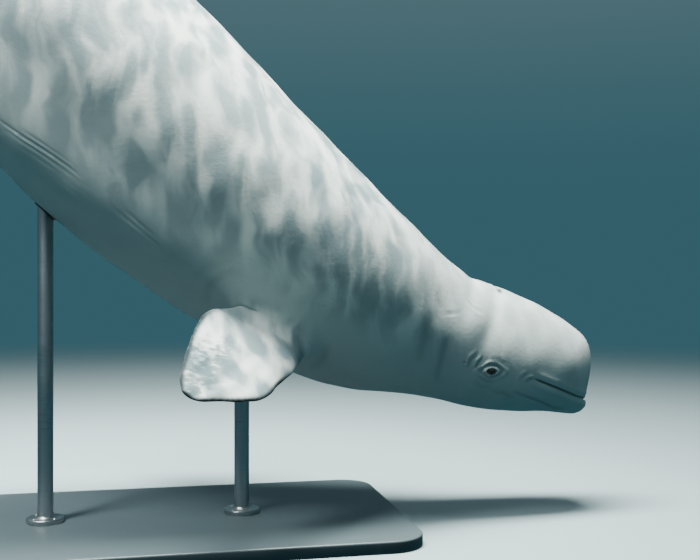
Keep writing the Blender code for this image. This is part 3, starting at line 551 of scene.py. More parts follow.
def furrows(place):
    """All the folds: a bell-shaped furrow along each line, and a bell-shaped swell on one side of it, with painted
    shade in each furrow, in the belly slits and in the ear pit.
    """
    raised = np.zeros(place.distance.shape)
    dark = np.zeros(place.distance.shape)
    for line, depth, half_width, swell in FURROWS:
        gap, signed, share = beside_line(place.distance, place.height, line)
        ends = np.clip(4.5 * share * (1 - share), 0, 1) ** 0.6
        furrow = ends * np.exp(-((gap / half_width) ** 2))
        raised += swell * ends * hump(1.7 * half_width, 1.1 * half_width, signed) - depth * furrow
        # Painted shade along the furrow, darker where it is deeper
        dark = np.maximum(dark, furrow * min(0.75, depth / 0.0055))
    for middle, half_length, half_width, depth in BELLY_SLITS:
        length = np.clip(1 - ((place.distance - middle) / half_length) ** 2, 0, 1)
        slit = length**0.5 * np.exp(-((place.y / half_width) ** 2)) * (place.height < 0)
        lip = length**0.5 * hump(2.2 * half_width, half_width, np.abs(place.y)) * (place.height < 0)
        raised += 0.35 * depth * lip - depth * slit
        dark = np.maximum(dark, slit)
    ear = np.hypot(place.distance - 0.560, place.height + 0.052)
    pit = np.exp(-((ear / 0.0035) ** 2))
    return raised - 0.004 * pit, np.maximum(dark, 0.8 * pit)


def relief(place, points):
    """How far the skin stands out from the plain body, and the painted shade that darkens each furrow, slit, the
    mouth, the eye sockets and the blowhole.
    """
    mouth, mouth_painted_shade = lips(place)
    lids, lids_painted_shade = eyelids(points)
    hole, blowhole_painted_shade = blowhole(place, points)
    folds, folds_painted_shade = furrows(place)
    away_from_tail = 1 - smooth_step(3.7, 4.0, place.distance)
    raised = mouth + lids + hole + folds + nape_and_melon(place) + back_ridge(place) + flank_rolls(place)
    raised = raised + soft_waves(points) * away_from_tail * smooth_step(0.0, 0.10, place.distance)
    return raised, np.maximum.reduce([mouth_painted_shade, lids_painted_shade, blowhole_painted_shade, folds_painted_shade])


def body_grid():
    """Rings of points round the whole body, from the lips to the flukes, with the relief."""
    index = ring_places()
    angle = row_angles(index)
    half, distance, height = section(index[:, None], angle)
    mirror = slice(-2, 0, -1)
    points = np.concatenate([half, half[:, mirror] * [1, -1, 1]], 1)
    distance = np.concatenate([distance, distance[:, mirror]], 1)
    height = np.concatenate([height, height[:, mirror]], 1)
    along = np.gradient(points, axis=0)
    across = np.roll(points, -1, 1) - np.roll(points, 1, 1)
    normal = unit(np.cross(across, along))
    raised, _ = relief(Place(distance, height, points[..., 1]), points)
    points = points + normal * raised[..., None]
    tip, *_ = section(np.array([0.0]), np.array([0.0]))
    front = tip[0] - BACKBONE.ways(0.0)[0] * MOUTH_DEPTH
    x, z = BACKBONE.at(TAIL_END, 0.0)
    return points, front, np.array([float(x), 0.0, float(z)])


def fin_section(angle, lead, trail, thick):
    """(chord, rise) of a fin's section: an ellipse, thicker ahead of its middle."""
    middle, half = (lead - trail) / 2, (lead + trail) / 2
    chord = middle + half * np.cos(angle)
    rise = thick / 2 * np.sin(angle) * (1 + FIN_FULLNESS_AHEAD * np.cos(angle))
    return chord, rise


def skin_point(distance, height):
    """The point of the right side's plain surface at a distance and a height."""
    fine = np.linspace(0.5, len(STATIONS), 2001)
    values = station_values(fine)
    index = np.interp(distance, (values[0] + values[2]) / 2, fine)
    _, rise, _, fall, *_ = station_values(np.array([index]))
    angle = float(np.arccos(1 - 2 * (height + fall[0]) / (rise[0] + fall[0])))
    return section(np.array([index]), np.array([angle]))[0][0]


def flipper_frame(side):
    """The place of a flipper's root, and the rows of its outward, forward and upward directions."""
    turn = np.array([1, 1 if side == "right" else -1, 1])
    ways = np.array(BACKBONE.ways(FLIPPER_ROOT[0]))
    span, chord_way = (unit(np.array(given) @ ways) * turn for given in FLIPPER_WAYS[side])
    chord_way = unit(chord_way - span * (chord_way @ span))
    up = np.cross(span, chord_way)
    up = -up if up[2] < 0 else up
    return skin_point(*FLIPPER_ROOT) * turn, np.array([span, chord_way, up])


def flipper_grid(side):
    """Rings of points of one flipper, from inside the body to its tip.

    The chord and thickness are splines of the distance out. The outer part curls up with the square of
    that distance. Low ridges run outwards over the five fingers, and the edges are slightly nicked.
    """
    origin, ways = flipper_frame(side)
    knots = np.arange(len(FLIPPER_STATIONS))
    index = np.linspace(0, 1, FLIPPER_RINGS) ** 0.85 * knots[-1]
    out, lead, trail, thick = (natural_spline(knots, c, index)[:, None] for c in FLIPPER_STATIONS.T)
    free = smooth_step(0.12, 0.24, out)
    lead = lead + free * (0.0016 * np.sin(58 * out) * np.sin(23 * out + 1) - 0.0035 * hump(0.372, 0.006, out))
    trail = trail + free * (0.0022 * np.sin(47 * out + 2) * np.sin(19 * out) - 0.0050 * hump(0.300, 0.008, out))
    trail = trail - free * 0.0035 * hump(0.425, 0.006, out)
    angle = np.linspace(0, 2 * pi, FIN_SIDES, endpoint=False)[None, :]
    chord, rise = fin_section(angle, lead, trail, thick)
    across = (chord - chord.mean(1, keepdims=True)) / FLIPPER_HALF_BREADTH
    fingers = 0.0011 * free * np.cos(2 * pi * 2.6 * (across + 0.12 * out)) * (1 - np.abs(np.cos(angle)) ** 6)
    rise = rise + fingers * np.sign(np.sin(angle))
    curl = np.clip(out / FLIPPER_TIP[0], 0, 1) ** 2 * (0.5 + 0.5 * across**2)
    rise = rise + FLIPPER_CURL * curl
    local = np.stack([np.broadcast_to(out, chord.shape), chord, rise], -1)
    tip = np.array([*FLIPPER_TIP, 0.5 * FLIPPER_CURL])
    return local @ ways + origin, local[0].mean(0) @ ways + origin, tip @ ways + origin


def fluke_grid():
    """Rings of points of both flukes from tip to tip. Chord and thickness are splines of the distance
    out, the tips rise with its square, and the trailing edge is slightly scalloped and nicked."""
    count = len(FLUKE_STATIONS)
    knots = np.arange(-count + 1, count)
    mirror = np.concatenate([FLUKE_STATIONS[:0:-1], FLUKE_STATIONS])
    mirror[: count - 1, 0] *= -1
    index = np.linspace(-count + 1, count - 1, FLUKE_RINGS + 1)
    out, lead, trail, thick = (natural_spline(knots, c, index)[:, None] for c in mirror.T)
    free = smooth_step(0.08, 0.20, np.abs(out))
    trail = trail + free * (0.0030 * np.sin(61 * out + 1) * np.sin(17 * out) - 0.0060 * hump(0.262, 0.007, out))
    trail = trail - free * (0.0050 * hump(-0.333, 0.006, out) + 0.0040 * hump(0.405, 0.005, out))
    lead = lead + free * 0.0015 * np.sin(40 * out + 2)
    angle = np.linspace(0, 2 * pi, FIN_SIDES, endpoint=False)[None, :]
    chord, rise = fin_section(angle, -lead, trail, thick)
    rise = rise + FLUKE_RISE * (out / FLUKE_TIP[0]) ** 2
    x, z = BACKBONE.at(-chord, rise)
    rings = np.stack([x, np.broadcast_to(out, x.shape), z], -1)
    x, z = BACKBONE.at(FLUKE_TIP[1], FLUKE_RISE)
    tips = [np.array([float(x), side * FLUKE_TIP[0], float(z)]) for side in (-1, 1)]
    return rings, tips[0], tips[1]


def closed_mesh(name, rings, first, last):
    """A closed mesh over rings of points, with a point at each end, its faces turned outwards."""
    count, sides = rings.shape[:2]
    points = np.concatenate([rings.reshape(-1, 3), [first, last]])
    i, j = (a.ravel() for a in np.meshgrid(np.arange(count - 1), np.arange(sides), indexing="ij"))
    k = (j + 1) % sides
    quads = np.stack([i * sides + j, i * sides + k, (i + 1) * sides + k, (i + 1) * sides + j], 1)
    around = np.arange(sides)
    following = (around + 1) % sides
    base = (count - 1) * sides
    start = np.stack([following, around, np.full(sides, count * sides)], 1)
    end = np.stack([base + around, base + following, np.full(sides, count * sides + 1)], 1)
    corners = points[np.concatenate([quads[:, :3], quads[:, [0, 2, 3]], start, end])]
    if np.linalg.det(corners).sum() < 0:
        quads, start, end = quads[:, ::-1], start[:, ::-1], end[:, ::-1]
    mesh = bpy.data.meshes.new(name)
    mesh.from_pydata(points.tolist(), [], quads.tolist() + start.tolist() + end.tolist())
    made = bpy.data.objects.new(name, mesh)
    bpy.context.scene.collection.objects.link(made)
    return made


def evaluated_mesh(made):
    bpy.context.view_layer.update()
    graph = bpy.context.evaluated_depsgraph_get()
    return bpy.data.meshes.new_from_object(made.evaluated_get(graph))


def joined(whole, fins):
    """The mesh of a body united with its fins."""
    for fin in fins:
        step = whole.modifiers.new(fin.name, "BOOLEAN")
        step.operation = "UNION"
        step.solver = "EXACT"
        step.object = fin
    mesh = evaluated_mesh(whole)
    whole.modifiers.clear()
    whole.data = mesh
    for fin in fins:
        bpy.data.objects.remove(fin)
    return whole


def coordinates(mesh):
    flat = np.empty(len(mesh.vertices) * 3, np.float32)
    mesh.vertices.foreach_get("co", flat)
    return flat.reshape(-1, 3).astype(float)


class Surface:
    """A surface known by its points and normals. The distance of a place from it is the mean of its
    distances from the planes of the surface's points, weighted by a bell curve of their nearness."""

    REACH = 0.014
    CELL = 0.06
    MARGIN = 0.09

    def __init__(self, points, normals):
        self.points, self.normals = points, normals

    def distance(self, places):
        """Distances and outward directions, worked out cell by cell. Beyond the margin it is the margin."""
        found, ways = np.full(len(places), self.MARGIN), np.zeros((len(places), 3))
        _, cell = np.unique(np.floor(places / self.CELL), axis=0, return_inverse=True)
        order = np.argsort(cell.ravel(), kind="stable")
        for part in np.split(order, np.flatnonzero(np.diff(cell.ravel()[order])) + 1):
            low, high = places[part].min(0) - self.MARGIN, places[part].max(0) + self.MARGIN
            inside = np.all((self.points > low) & (self.points < high), axis=1)
            if not inside.any():
                continue
            off = places[part, None] - self.points[None, inside]
            gaps = (off**2).sum(-1)
            nearest = gaps.min(1, keepdims=True)
            weight = np.exp(-(gaps - nearest) / (self.REACH**2 + 0.06 * nearest))
            weight /= weight.sum(1, keepdims=True)
            found[part] = (weight * (off * self.normals[None, inside]).sum(-1)).sum(1)
            ways[part] = weight @ self.normals[inside]
        return found, unit(ways)


def grid_normals(rings, outwards):
    """Normals of a grid of rings, turned to the side on which they point away from its middle line."""
    along = np.gradient(rings, axis=0)
    across = np.roll(rings, -1, 1) - np.roll(rings, 1, 1)
    normal = unit(np.cross(across, along))
    away = ((rings - rings.mean(1, keepdims=True)) * normal).sum()
    return normal if (away > 0) == outwards else -normal


def run_together(points, body, fin, radius, near):
    """Moves the points near a root onto the surface where body and fin run smoothly together.

    That surface is where the smooth minimum of the two distances is nought: the lesser of the two, less
    a bulge that is greatest where they are equal and gone where they differ by the radius.
    """
    chosen = np.flatnonzero(near)
    to_body, to_fin = body.distance(points[chosen])[0], fin.distance(points[chosen])[0]
    chosen = chosen[np.abs(to_body - to_fin) < radius]
    place = points[chosen]
    first = None
    for _ in range(4):
        to_body, body_way = body.distance(place)
        to_fin, fin_way = fin.distance(place)
        share = np.clip(0.5 + 0.5 * (to_fin - to_body) / radius, 0, 1)
        blended = to_fin * (1 - share) + to_body * share - radius * share * (1 - share)
        if first is None:
            first = np.minimum(to_body, to_fin)
        way = unit(body_way * share[:, None] + fin_way * (1 - share[:, None]))
        place = place - way * (blended - first)[:, None]
    moved = points.copy()
    moved[chosen] = place
    return moved


def near_surface(rings, normals, centre, reach, step=1):
    points, ways = rings[::step].reshape(-1, 3), normals[::step].reshape(-1, 3)
    chosen = np.linalg.norm(points - centre, axis=1) < reach
    return Surface(points[chosen], ways[chosen])


def make_skin():
    """The whole skin in one piece: body, flippers and flukes united and run smoothly together."""
    body_rings, front, back = body_grid()
    skin = closed_mesh("beluga_skin", body_rings, front, back)
    fins = [closed_mesh(f"flipper_{side}", *flipper_grid(side)) for side in ("right", "left")]
    fins.append(closed_mesh("flukes", *fluke_grid()))
    joined(skin, fins)
    points = coordinates(skin.data)
    body_normals = grid_normals(body_rings, True)
    for side in ("right", "left"):
        rings = flipper_grid(side)[0]
        origin, _ = flipper_frame(side)
        body = near_surface(body_rings, body_normals, origin, 0.36)
        fin = near_surface(rings, grid_normals(rings, True), origin, 0.40)
        near = np.linalg.norm(points - origin, axis=1) < 0.27
        points = run_together(points, body, fin, FLIPPER_BLEND, near)
    rings = fluke_grid()[0]
    x, z = BACKBONE.at(4.02, 0.0)
    origin = np.array([float(x), 0.0, float(z)])
    body = near_surface(body_rings, body_normals, origin, 0.45)
    fin = near_surface(rings, grid_normals(rings, True), origin, 0.45)
    near = np.linalg.norm(points - origin, axis=1) < 0.33
    points = run_together(points, body, fin, FLUKE_BLEND, near)
    skin.data.vertices.foreach_set("co", points.ravel())
    skin.data.update()
    skin.data.shade_smooth()
    return skin


def fin_edge_gap(out, along, table):
    """How far inside a fin's outline points lie, given the table's distance out, first edge and last edge."""
    fine = np.linspace(0, len(table) - 1, 400)
    knots = np.arange(len(table))
    outs, first, last = (natural_spline(knots, column, fine) for column in table.T)
    ahead = np.interp(out, outs, first) - along
    behind = along - np.interp(out, outs, last)
    return np.minimum(np.abs(ahead), np.abs(behind))


def mark_skin(skin):
    """Gives each point of the skin its marks: the painted shade of its furrows, how near a fin's edge it lies,
    where the dark rim is partly painted shade, and how far it lies in the streaked outer part of a flipper."""
    points = coordinates(skin.data)
    distance, height = BACKBONE.place(points)
    place = Place(distance, height, points[:, 1])
    _, furrow = relief(place, points)
    furrow = furrow * (1 - smooth_step(0.015, 0.045, np.abs(points[:, 1]) - place.plain_y))
    rim = np.zeros(len(points))
    streaked = np.zeros(len(points))
    for side in ("right", "left"):
        origin, ways = flipper_frame(side)
        out, along, rise = ((points - origin) @ ways.T).T
        table = FLIPPER_STATIONS[:, :3] * [1, 1, -1]
        gap = np.minimum(fin_edge_gap(out, along, table), np.abs(FLIPPER_TIP[0] - out))
        free = smooth_step(0.10, 0.20, out) * (np.abs(along) < 0.2) * (np.abs(rise) < 0.1)
        rim = np.maximum(rim, free * np.exp(-((gap / 0.0135) ** 4)))
        hind = smooth_step(-0.02, 0.10, -along)
        streaked = np.maximum(streaked, free * hind * smooth_step(0.18, 0.30, out))
    table = FLUKE_STATIONS[:, :3] * [1, -1, -1]
    out = np.abs(points[:, 1])
    gap = np.minimum(fin_edge_gap(out, -distance, table), np.abs(FLUKE_TIP[0] - out))
    free = smooth_step(0.06, 0.16, out) * (distance > 3.8)
    rim = np.maximum(rim, free * np.exp(-((gap / 0.0090) ** 4)))
    for name, values in (("furrow", furrow), ("rim", rim), ("streaked", streaked)):
        mark = skin.data.attributes.new(name, "FLOAT", "POINT")
        mark.data.foreach_set("value", values.astype(np.float32))


def hex_colour(text):
    """An sRGB hex colour as linear RGB with alpha 1."""
    values = np.array([int(text[i : i + 2], 16) for i in (1, 3, 5)]) / 255
    linear = np.where(values <= 0.04045, values / 12.92, ((values + 0.055) / 1.055) ** 2.4)
    return (*linear.tolist(), 1.0)


def new_material(name):
    made = bpy.data.materials.new(name)
    made.use_nodes = True
    made.node_tree.nodes.clear()
    return made, made.node_tree


def node(tree, kind, sockets, **settings):
    """Adds a node with its settings. Each socket gets a value, or a link where an output is given."""
    made = tree.nodes.new("ShaderNode" + kind)
    for name, value in settings.items():
        setattr(made, name, value)
    for name, value in sockets.items():
        if isinstance(value, bpy.types.NodeSocket):
            tree.links.new(value, made.inputs[name])
        else:
            made.inputs[name].default_value = value
    return made


def painted_silicone_skin():
    """Silicone rubber cast over a moulded body and painted as the hide of an adult beluga.

    It is a warm greyish white with soft grey clouds, satin, and a little light passes into it. Dapples of
    painted caustic light lie on the surfaces that face upwards. Fine rake marks run along the body, the
    furrows are darkened with painted shade, and the thin edges of the fins are dark, partly in their own
    colour and partly with painted shade.
    """
    made, tree = new_material("painted_silicone_skin")
    object_place = node(tree, "TexCoord", {}).outputs["Object"]
    # Clouds of tone about 400 mm across
    clouds = node(tree, "TexNoise", {"Vector": object_place, "Scale": 2.4, "Detail": 3.0, "Roughness": 0.5})
    # Dapples of painted caustic light, 50 to 80 mm broad and about twice as tall: soft cells, pushed out of shape,
    # over streaks
    warp = node(tree, "TexNoise", {"Vector": object_place, "Scale": 4.5, "Detail": 2.0, "Roughness": 0.5})
    pushed = node(
        tree, "VectorMath", {0: warp.outputs["Color"], 1: (0.13, 0.13, 0.20), 2: object_place},
        operation="MULTIPLY_ADD",
    )
    dapple_place = node(tree, "Mapping", {"Vector": pushed.outputs[0], "Scale": (1.90, 1.50, 0.62)})
    cells = node(
        tree, "TexVoronoi", {"Vector": dapple_place.outputs[0], "Scale": 7.5, "Smoothness": 0.50},
        feature="SMOOTH_F1",
    )
    streaks = node(
        tree, "TexNoise",
        {"Vector": dapple_place.outputs[0], "Scale": 9.5, "Detail": 2.5, "Roughness": 0.45, "Distortion": 0.4},
    )
    painted_caustics = node(
        tree, "Math", {0: cells.outputs["Distance"], 1: 0.80, 2: streaks.outputs["Fac"]}, operation="MULTIPLY_ADD",
    )
    # Grain of the hide, really about 1 mm, drawn at 4 mm so that it shows
    grain = node(tree, "TexNoise", {"Vector": object_place, "Scale": 250.0, "Detail": 3.0, "Roughness": 0.6})
    # Crumple of the hide, about 14 mm
    crumple = node(tree, "TexNoise", {"Vector": object_place, "Scale": 70.0, "Detail": 4.0, "Roughness": 0.55})
    # Rake marks about 3 mm wide and 100 to 300 mm long, along the body
    rake_place = node(
        tree, "Mapping",
        {"Vector": object_place, "Rotation": (0.0, radians(-44), 0.0), "Scale": (1.6, 15.0, 15.0)},
    )
    rakes = node(
        tree, "TexNoise",
        {"Vector": rake_place.outputs[0], "Scale": 3.2, "Detail": 4.0, "Roughness": 0.55, "Distortion": 0.2},
    )
    off_middle = node(tree, "Math", {0: rakes.outputs["Fac"], 1: 0.53}, operation="SUBTRACT")
    off_size = node(tree, "Math", {0: off_middle.outputs[0]}, operation="ABSOLUTE")
    rake_line = node(
        tree, "MapRange",
        {"Value": off_size.outputs[0], "From Min": 0.0, "From Max": 0.010, "To Min": 1.0, "To Max": 0.0},
    )
    rake_patches = node(tree, "TexNoise", {"Vector": object_place, "Scale": 3.7, "Detail": 1.0})
    rake_where = node(
        tree, "MapRange",
        {"Value": rake_patches.outputs["Fac"], "From Min": 0.50, "From Max": 0.62, "To Min": 0.0, "To Max": 1.0},
    )
    rake = node(tree, "Math", {0: rake_line.outputs[0], 1: rake_where.outputs[0]}, operation="MULTIPLY")

    cloud_share = node(
        tree, "MapRange",
        {"Value": clouds.outputs["Fac"], "From Min": 0.38, "From Max": 0.64, "To Min": 0.0, "To Max": 1.0},
    )
    ground = node(
        tree, "Mix", {0: cloud_share.outputs[0], 6: hex_colour("#83959A"), 7: hex_colour("#9BABAB")},
        data_type="RGBA",
    )
    painted_caustic_light = node(
        tree, "MapRange",
        {"Value": painted_caustics.outputs[0], "From Min": 0.66, "From Max": 1.22, "To Min": 0.0, "To Max": 1.0},
        interpolation_type="SMOOTHSTEP",
    )
    # The painted caustic light falls on the back and upper sides, on surfaces that face upwards, and fades on the
    # head: the belly and the lower flanks get a plain even tone
    facing = node(tree, "SeparateXYZ", {0: node(tree, "TexCoord", {}).outputs["Normal"]})
    faces_upward_painted_light = node(
        tree, "MapRange",
        {"Value": facing.outputs[2], "From Min": -0.50, "From Max": -0.02, "To Min": 0.0, "To Max": 1.0},
        interpolation_type="SMOOTHSTEP",
    )
    along = node(tree, "SeparateXYZ", {0: object_place})
    behind_head = node(
        tree, "MapRange",
        {"Value": along.outputs[0], "From Min": 0.72, "From Max": 1.10, "To Min": 1.0, "To Max": 0.22},
        interpolation_type="SMOOTHSTEP",
    )
    painted_caustic_where = node(tree, "Math", {0: faces_upward_painted_light.outputs[0], 1: behind_head.outputs[0]}, operation="MULTIPLY")
    painted_caustic_share = node(
        tree, "Mix", {0: painted_caustic_where.outputs[0], 2: 0.45, 3: painted_caustic_light.outputs[0]}, data_type="FLOAT",
    )
    with_painted_caustics = node(
        tree, "Mix", {0: painted_caustic_share.outputs[0], 6: ground.outputs[2], 7: hex_colour("#EFF5EE")},
        data_type="RGBA",
    )
    grain_share = node(
        tree, "MapRange",
        {"Value": grain.outputs["Fac"], "From Min": 0.35, "From Max": 0.75, "To Min": 0.0, "To Max": 0.16},
    )
    grained = node(
        tree, "Mix", {0: grain_share.outputs[0], 6: with_painted_caustics.outputs[2], 7: hex_colour("#A3A8A4")},
        data_type="RGBA",
    )
    rake_share = node(tree, "Math", {0: rake.outputs[0], 1: 0.45}, operation="MULTIPLY")
    raked = node(
        tree, "Mix", {0: rake_share.outputs[0], 6: grained.outputs[2], 7: hex_colour("#9DA29F")},
        data_type="RGBA",
    )
    # Streaks about 5 mm wide and 60 mm long that run forwards from the flippers' hind edge
    streak_place = node(tree, "Mapping", {"Vector": object_place, "Scale": (3.0, 17.0, 30.0)})
    fin_streaks = node(
        tree, "TexNoise", {"Vector": streak_place.outputs[0], "Scale": 2.4, "Detail": 2.0, "Roughness": 0.55},
    )
    gathered = node(
        tree, "Math", {0: warp.outputs["Fac"], 1: 1.8, 2: fin_streaks.outputs["Fac"]}, operation="MULTIPLY_ADD",
    )
    streak_line = node(
        tree, "MapRange",
        {"Value": gathered.outputs[0], "From Min": 1.34, "From Max": 1.60, "To Min": 0.0, "To Max": 0.85},
        interpolation_type="SMOOTHSTEP",
    )
    streaked = node(tree, "Attribute", {}, attribute_name="streaked")
    streak_share = node(tree, "Math", {0: streak_line.outputs[0], 1: streaked.outputs["Fac"]}, operation="MULTIPLY")
    streaky = node(
        tree, "Mix", {0: streak_share.outputs[0], 6: raked.outputs[2], 7: hex_colour("#4F6469")},
        data_type="RGBA",
    )
    # The dark rims of the fins' thin edges: partly their own darker colour, partly painted shade where the rounded
    # edge turns from the light
    rim = node(tree, "Attribute", {}, attribute_name="rim")
    rim_break = node(
        tree, "MapRange",
        {"Value": crumple.outputs["Fac"], "From Min": 0.30, "From Max": 0.50, "To Min": 0.90, "To Max": 1.00},
    )
    rim_share = node(tree, "Math", {0: rim.outputs["Fac"], 1: rim_break.outputs[0]}, operation="MULTIPLY")
    rimmed = node(
        tree, "Mix", {0: rim_share.outputs[0], 6: streaky.outputs[2], 7: hex_colour("#232E31")},
        data_type="RGBA",
    )
    # Painted shade in the furrows, the mouth, the eye sockets, the blowhole, the slits and the ear pit: grey where
    # shallow, nearly black where deep
    furrow = node(tree, "Attribute", {}, attribute_name="furrow")
    shallow = node(tree, "Math", {0: furrow.outputs["Fac"], 1: 0.80}, operation="MULTIPLY")
    with_painted_furrow_shade = node(
        tree, "Mix", {0: shallow.outputs[0], 6: rimmed.outputs[2], 7: hex_colour("#66706F")},
        data_type="RGBA",
    )
    deep = node(
        tree, "MapRange",
        {"Value": furrow.outputs["Fac"], "From Min": 0.72, "From Max": 1.0, "To Min": 0.0, "To Max": 0.9},
    )
    colour = node(
        tree, "Mix", {0: deep.outputs[0], 6: with_painted_furrow_shade.outputs[2], 7: hex_colour("#2E2A29")},
        data_type="RGBA",
    )
    roughness = node(
        tree, "MapRange",
        {"Value": crumple.outputs["Fac"], "From Min": 0.3, "From Max": 0.7, "To Min": 0.36, "To Max": 0.50},
    )
    # The worn rims of the fins are dull, with hardly any lacquer left
    dulled = node(tree, "Mix", {0: rim_share.outputs[0], 2: roughness.outputs[0], 3: 0.95}, data_type="FLOAT")
    lacquer = node(tree, "Math", {0: rim_share.outputs[0], 1: -0.09, 2: 0.10}, operation="MULTIPLY_ADD")
    height = node(tree, "Math", {0: crumple.outputs["Fac"], 1: 0.50}, operation="MULTIPLY")
    height = node(tree, "Math", {0: grain.outputs["Fac"], 1: 0.16, 2: height.outputs[0]}, operation="MULTIPLY_ADD")
    height = node(tree, "Math", {0: rake.outputs[0], 1: -0.22, 2: height.outputs[0]}, operation="MULTIPLY_ADD")
    bump = node(tree, "Bump", {"Height": height.outputs[0], "Strength": 0.55, "Distance": 0.0022})
    shader = node(
        tree, "BsdfPrincipled",
        {
            "Base Color": colour.outputs[2],
            "Roughness": dulled.outputs[0],
            "IOR": 1.41,
            "Subsurface Weight": 0.14,
            "Subsurface Radius": (1.0, 0.82, 0.70),
            "Subsurface Scale": 0.010,
            "Coat Weight": lacquer.outputs[0],
            "Coat Roughness": 0.28,
            "Normal": bump.outputs[0],
        },
    )
    node(tree, "OutputMaterial", {"Surface": shader.outputs[0]})
    return made


def glass_eye():
    """A cast glass eye, polished: a dark brown iris with fine spokes round a wide, low pupil.

    Colour follows the distance from the middle of the gaze, so both eyes read the place of |Y|.
    """
    made, tree = new_material("polished_glass_eye")
    object_place = node(tree, "TexCoord", {}).outputs["Object"]
    apart = node(tree, "SeparateXYZ", {0: object_place})
    right_side = node(tree, "Math", {0: apart.outputs[1]}, operation="ABSOLUTE")
    minus_y = node(tree, "Math", {0: right_side.outputs[0], 1: -1.0}, operation="MULTIPLY")
    folded = node(tree, "CombineXYZ", {0: apart.outputs[0], 1: minus_y.outputs[0], 2: apart.outputs[2]})
    ways = Matrix([LID_LONG_WAY, LID_SHORT_WAY, EYE_NORMAL]).transposed()
    centre = Vector(EYE_POINT - EYE_NORMAL * EYE_SUNK)
    local = node(
        tree, "Mapping",
        {"Vector": folded.outputs[0], "Location": centre, "Rotation": ways.to_euler("XYZ")},
        vector_type="TEXTURE",
    )
    flat = node(tree, "VectorMath", {0: local.outputs[0], 1: (1.0, 1.0, 0.0)}, operation="MULTIPLY")
    radius = node(tree, "VectorMath", {0: flat.outputs[0]}, operation="LENGTH")
    low = node(tree, "VectorMath", {0: local.outputs[0], 1: (0.62, 1.5, 0.0)}, operation="MULTIPLY")
    pupil_radius = node(tree, "VectorMath", {0: low.outputs[0]}, operation="LENGTH")
    spoke_way = node(tree, "VectorMath", {0: flat.outputs[0]}, operation="NORMALIZE")
    spokes = node(tree, "TexNoise", {"Vector": spoke_way.outputs[0], "Scale": 9.0, "Detail": 3.0})
    iris = node(
        tree, "Mix", {0: spokes.outputs["Fac"], 6: hex_colour("#1B110B"), 7: hex_colour("#3F2B1B")},
        data_type="RGBA",
    )
    white_share = node(
        tree, "MapRange",
        {"Value": radius.outputs["Value"], "From Min": 0.0108, "From Max": 0.0135, "To Min": 0.0, "To Max": 1.0},
        interpolation_type="SMOOTHSTEP",
    )
    with_white = node(
        tree, "Mix", {0: white_share.outputs[0], 6: iris.outputs[2], 7: hex_colour("#4B423C")},
        data_type="RGBA",
    )
    pupil_share = node(
        tree, "MapRange",
        {"Value": pupil_radius.outputs["Value"], "From Min": 0.0040, "From Max": 0.0052, "To Min": 1.0, "To Max": 0.0},
        interpolation_type="SMOOTHSTEP",
    )
    colour = node(
        tree, "Mix", {0: pupil_share.outputs[0], 6: with_white.outputs[2], 7: hex_colour("#060606")},
        data_type="RGBA",
    )
    shader = node(
        tree, "BsdfPrincipled",
        {"Base Color": colour.outputs[2], "Roughness": 0.06, "IOR": 1.50, "Coat Weight": 1.0, "Coat Roughness": 0.02},
    )
    node(tree, "OutputMaterial", {"Surface": shader.outputs[0]})
    return made


def brushed_stainless_steel(name, round_post):
    """Stainless steel brushed round the post or across the flange, so that its gleam is drawn out.

    The brush lines are really 0.1 mm apart, and are drawn 1.5 mm apart so that they show.
    """
    made, tree = new_material(name)
    object_place = node(tree, "TexCoord", {}).outputs["Object"]
    stretch = (6.0, 6.0, 660.0) if round_post else (10.0, 660.0, 10.0)
    lines_place = node(tree, "Mapping", {"Vector": object_place, "Scale": stretch})
    lines = node(tree, "TexNoise", {"Vector": lines_place.outputs[0], "Scale": 1.0, "Detail": 4.0, "Roughness": 0.6})
    smears = node(tree, "TexNoise", {"Vector": object_place, "Scale": 14.0, "Detail": 3.0})
    colour = node(
        tree, "Mix", {0: lines.outputs["Fac"], 6: hex_colour("#A4A6A8"), 7: hex_colour("#C6C8CA")},
        data_type="RGBA",
    )
    mixed = node(tree, "Math", {0: lines.outputs["Fac"], 1: 0.16, 2: 0.16}, operation="MULTIPLY_ADD")
    roughness = node(tree, "Math", {0: smears.outputs["Fac"], 1: 0.14, 2: mixed.outputs[0]}, operation="MULTIPLY_ADD")
    bump = node(tree, "Bump", {"Height": lines.outputs["Fac"], "Strength": 0.25, "Distance": 0.0004})
    shader = node(
        tree, "BsdfPrincipled",
        {
            "Base Color": colour.outputs[2],
            "Metallic": 1.0,
            "Roughness": roughness.outputs[0],
            "Normal": bump.outputs[0],
        },
    )
    node(tree, "OutputMaterial", {"Surface": shader.outputs[0]})
    return made


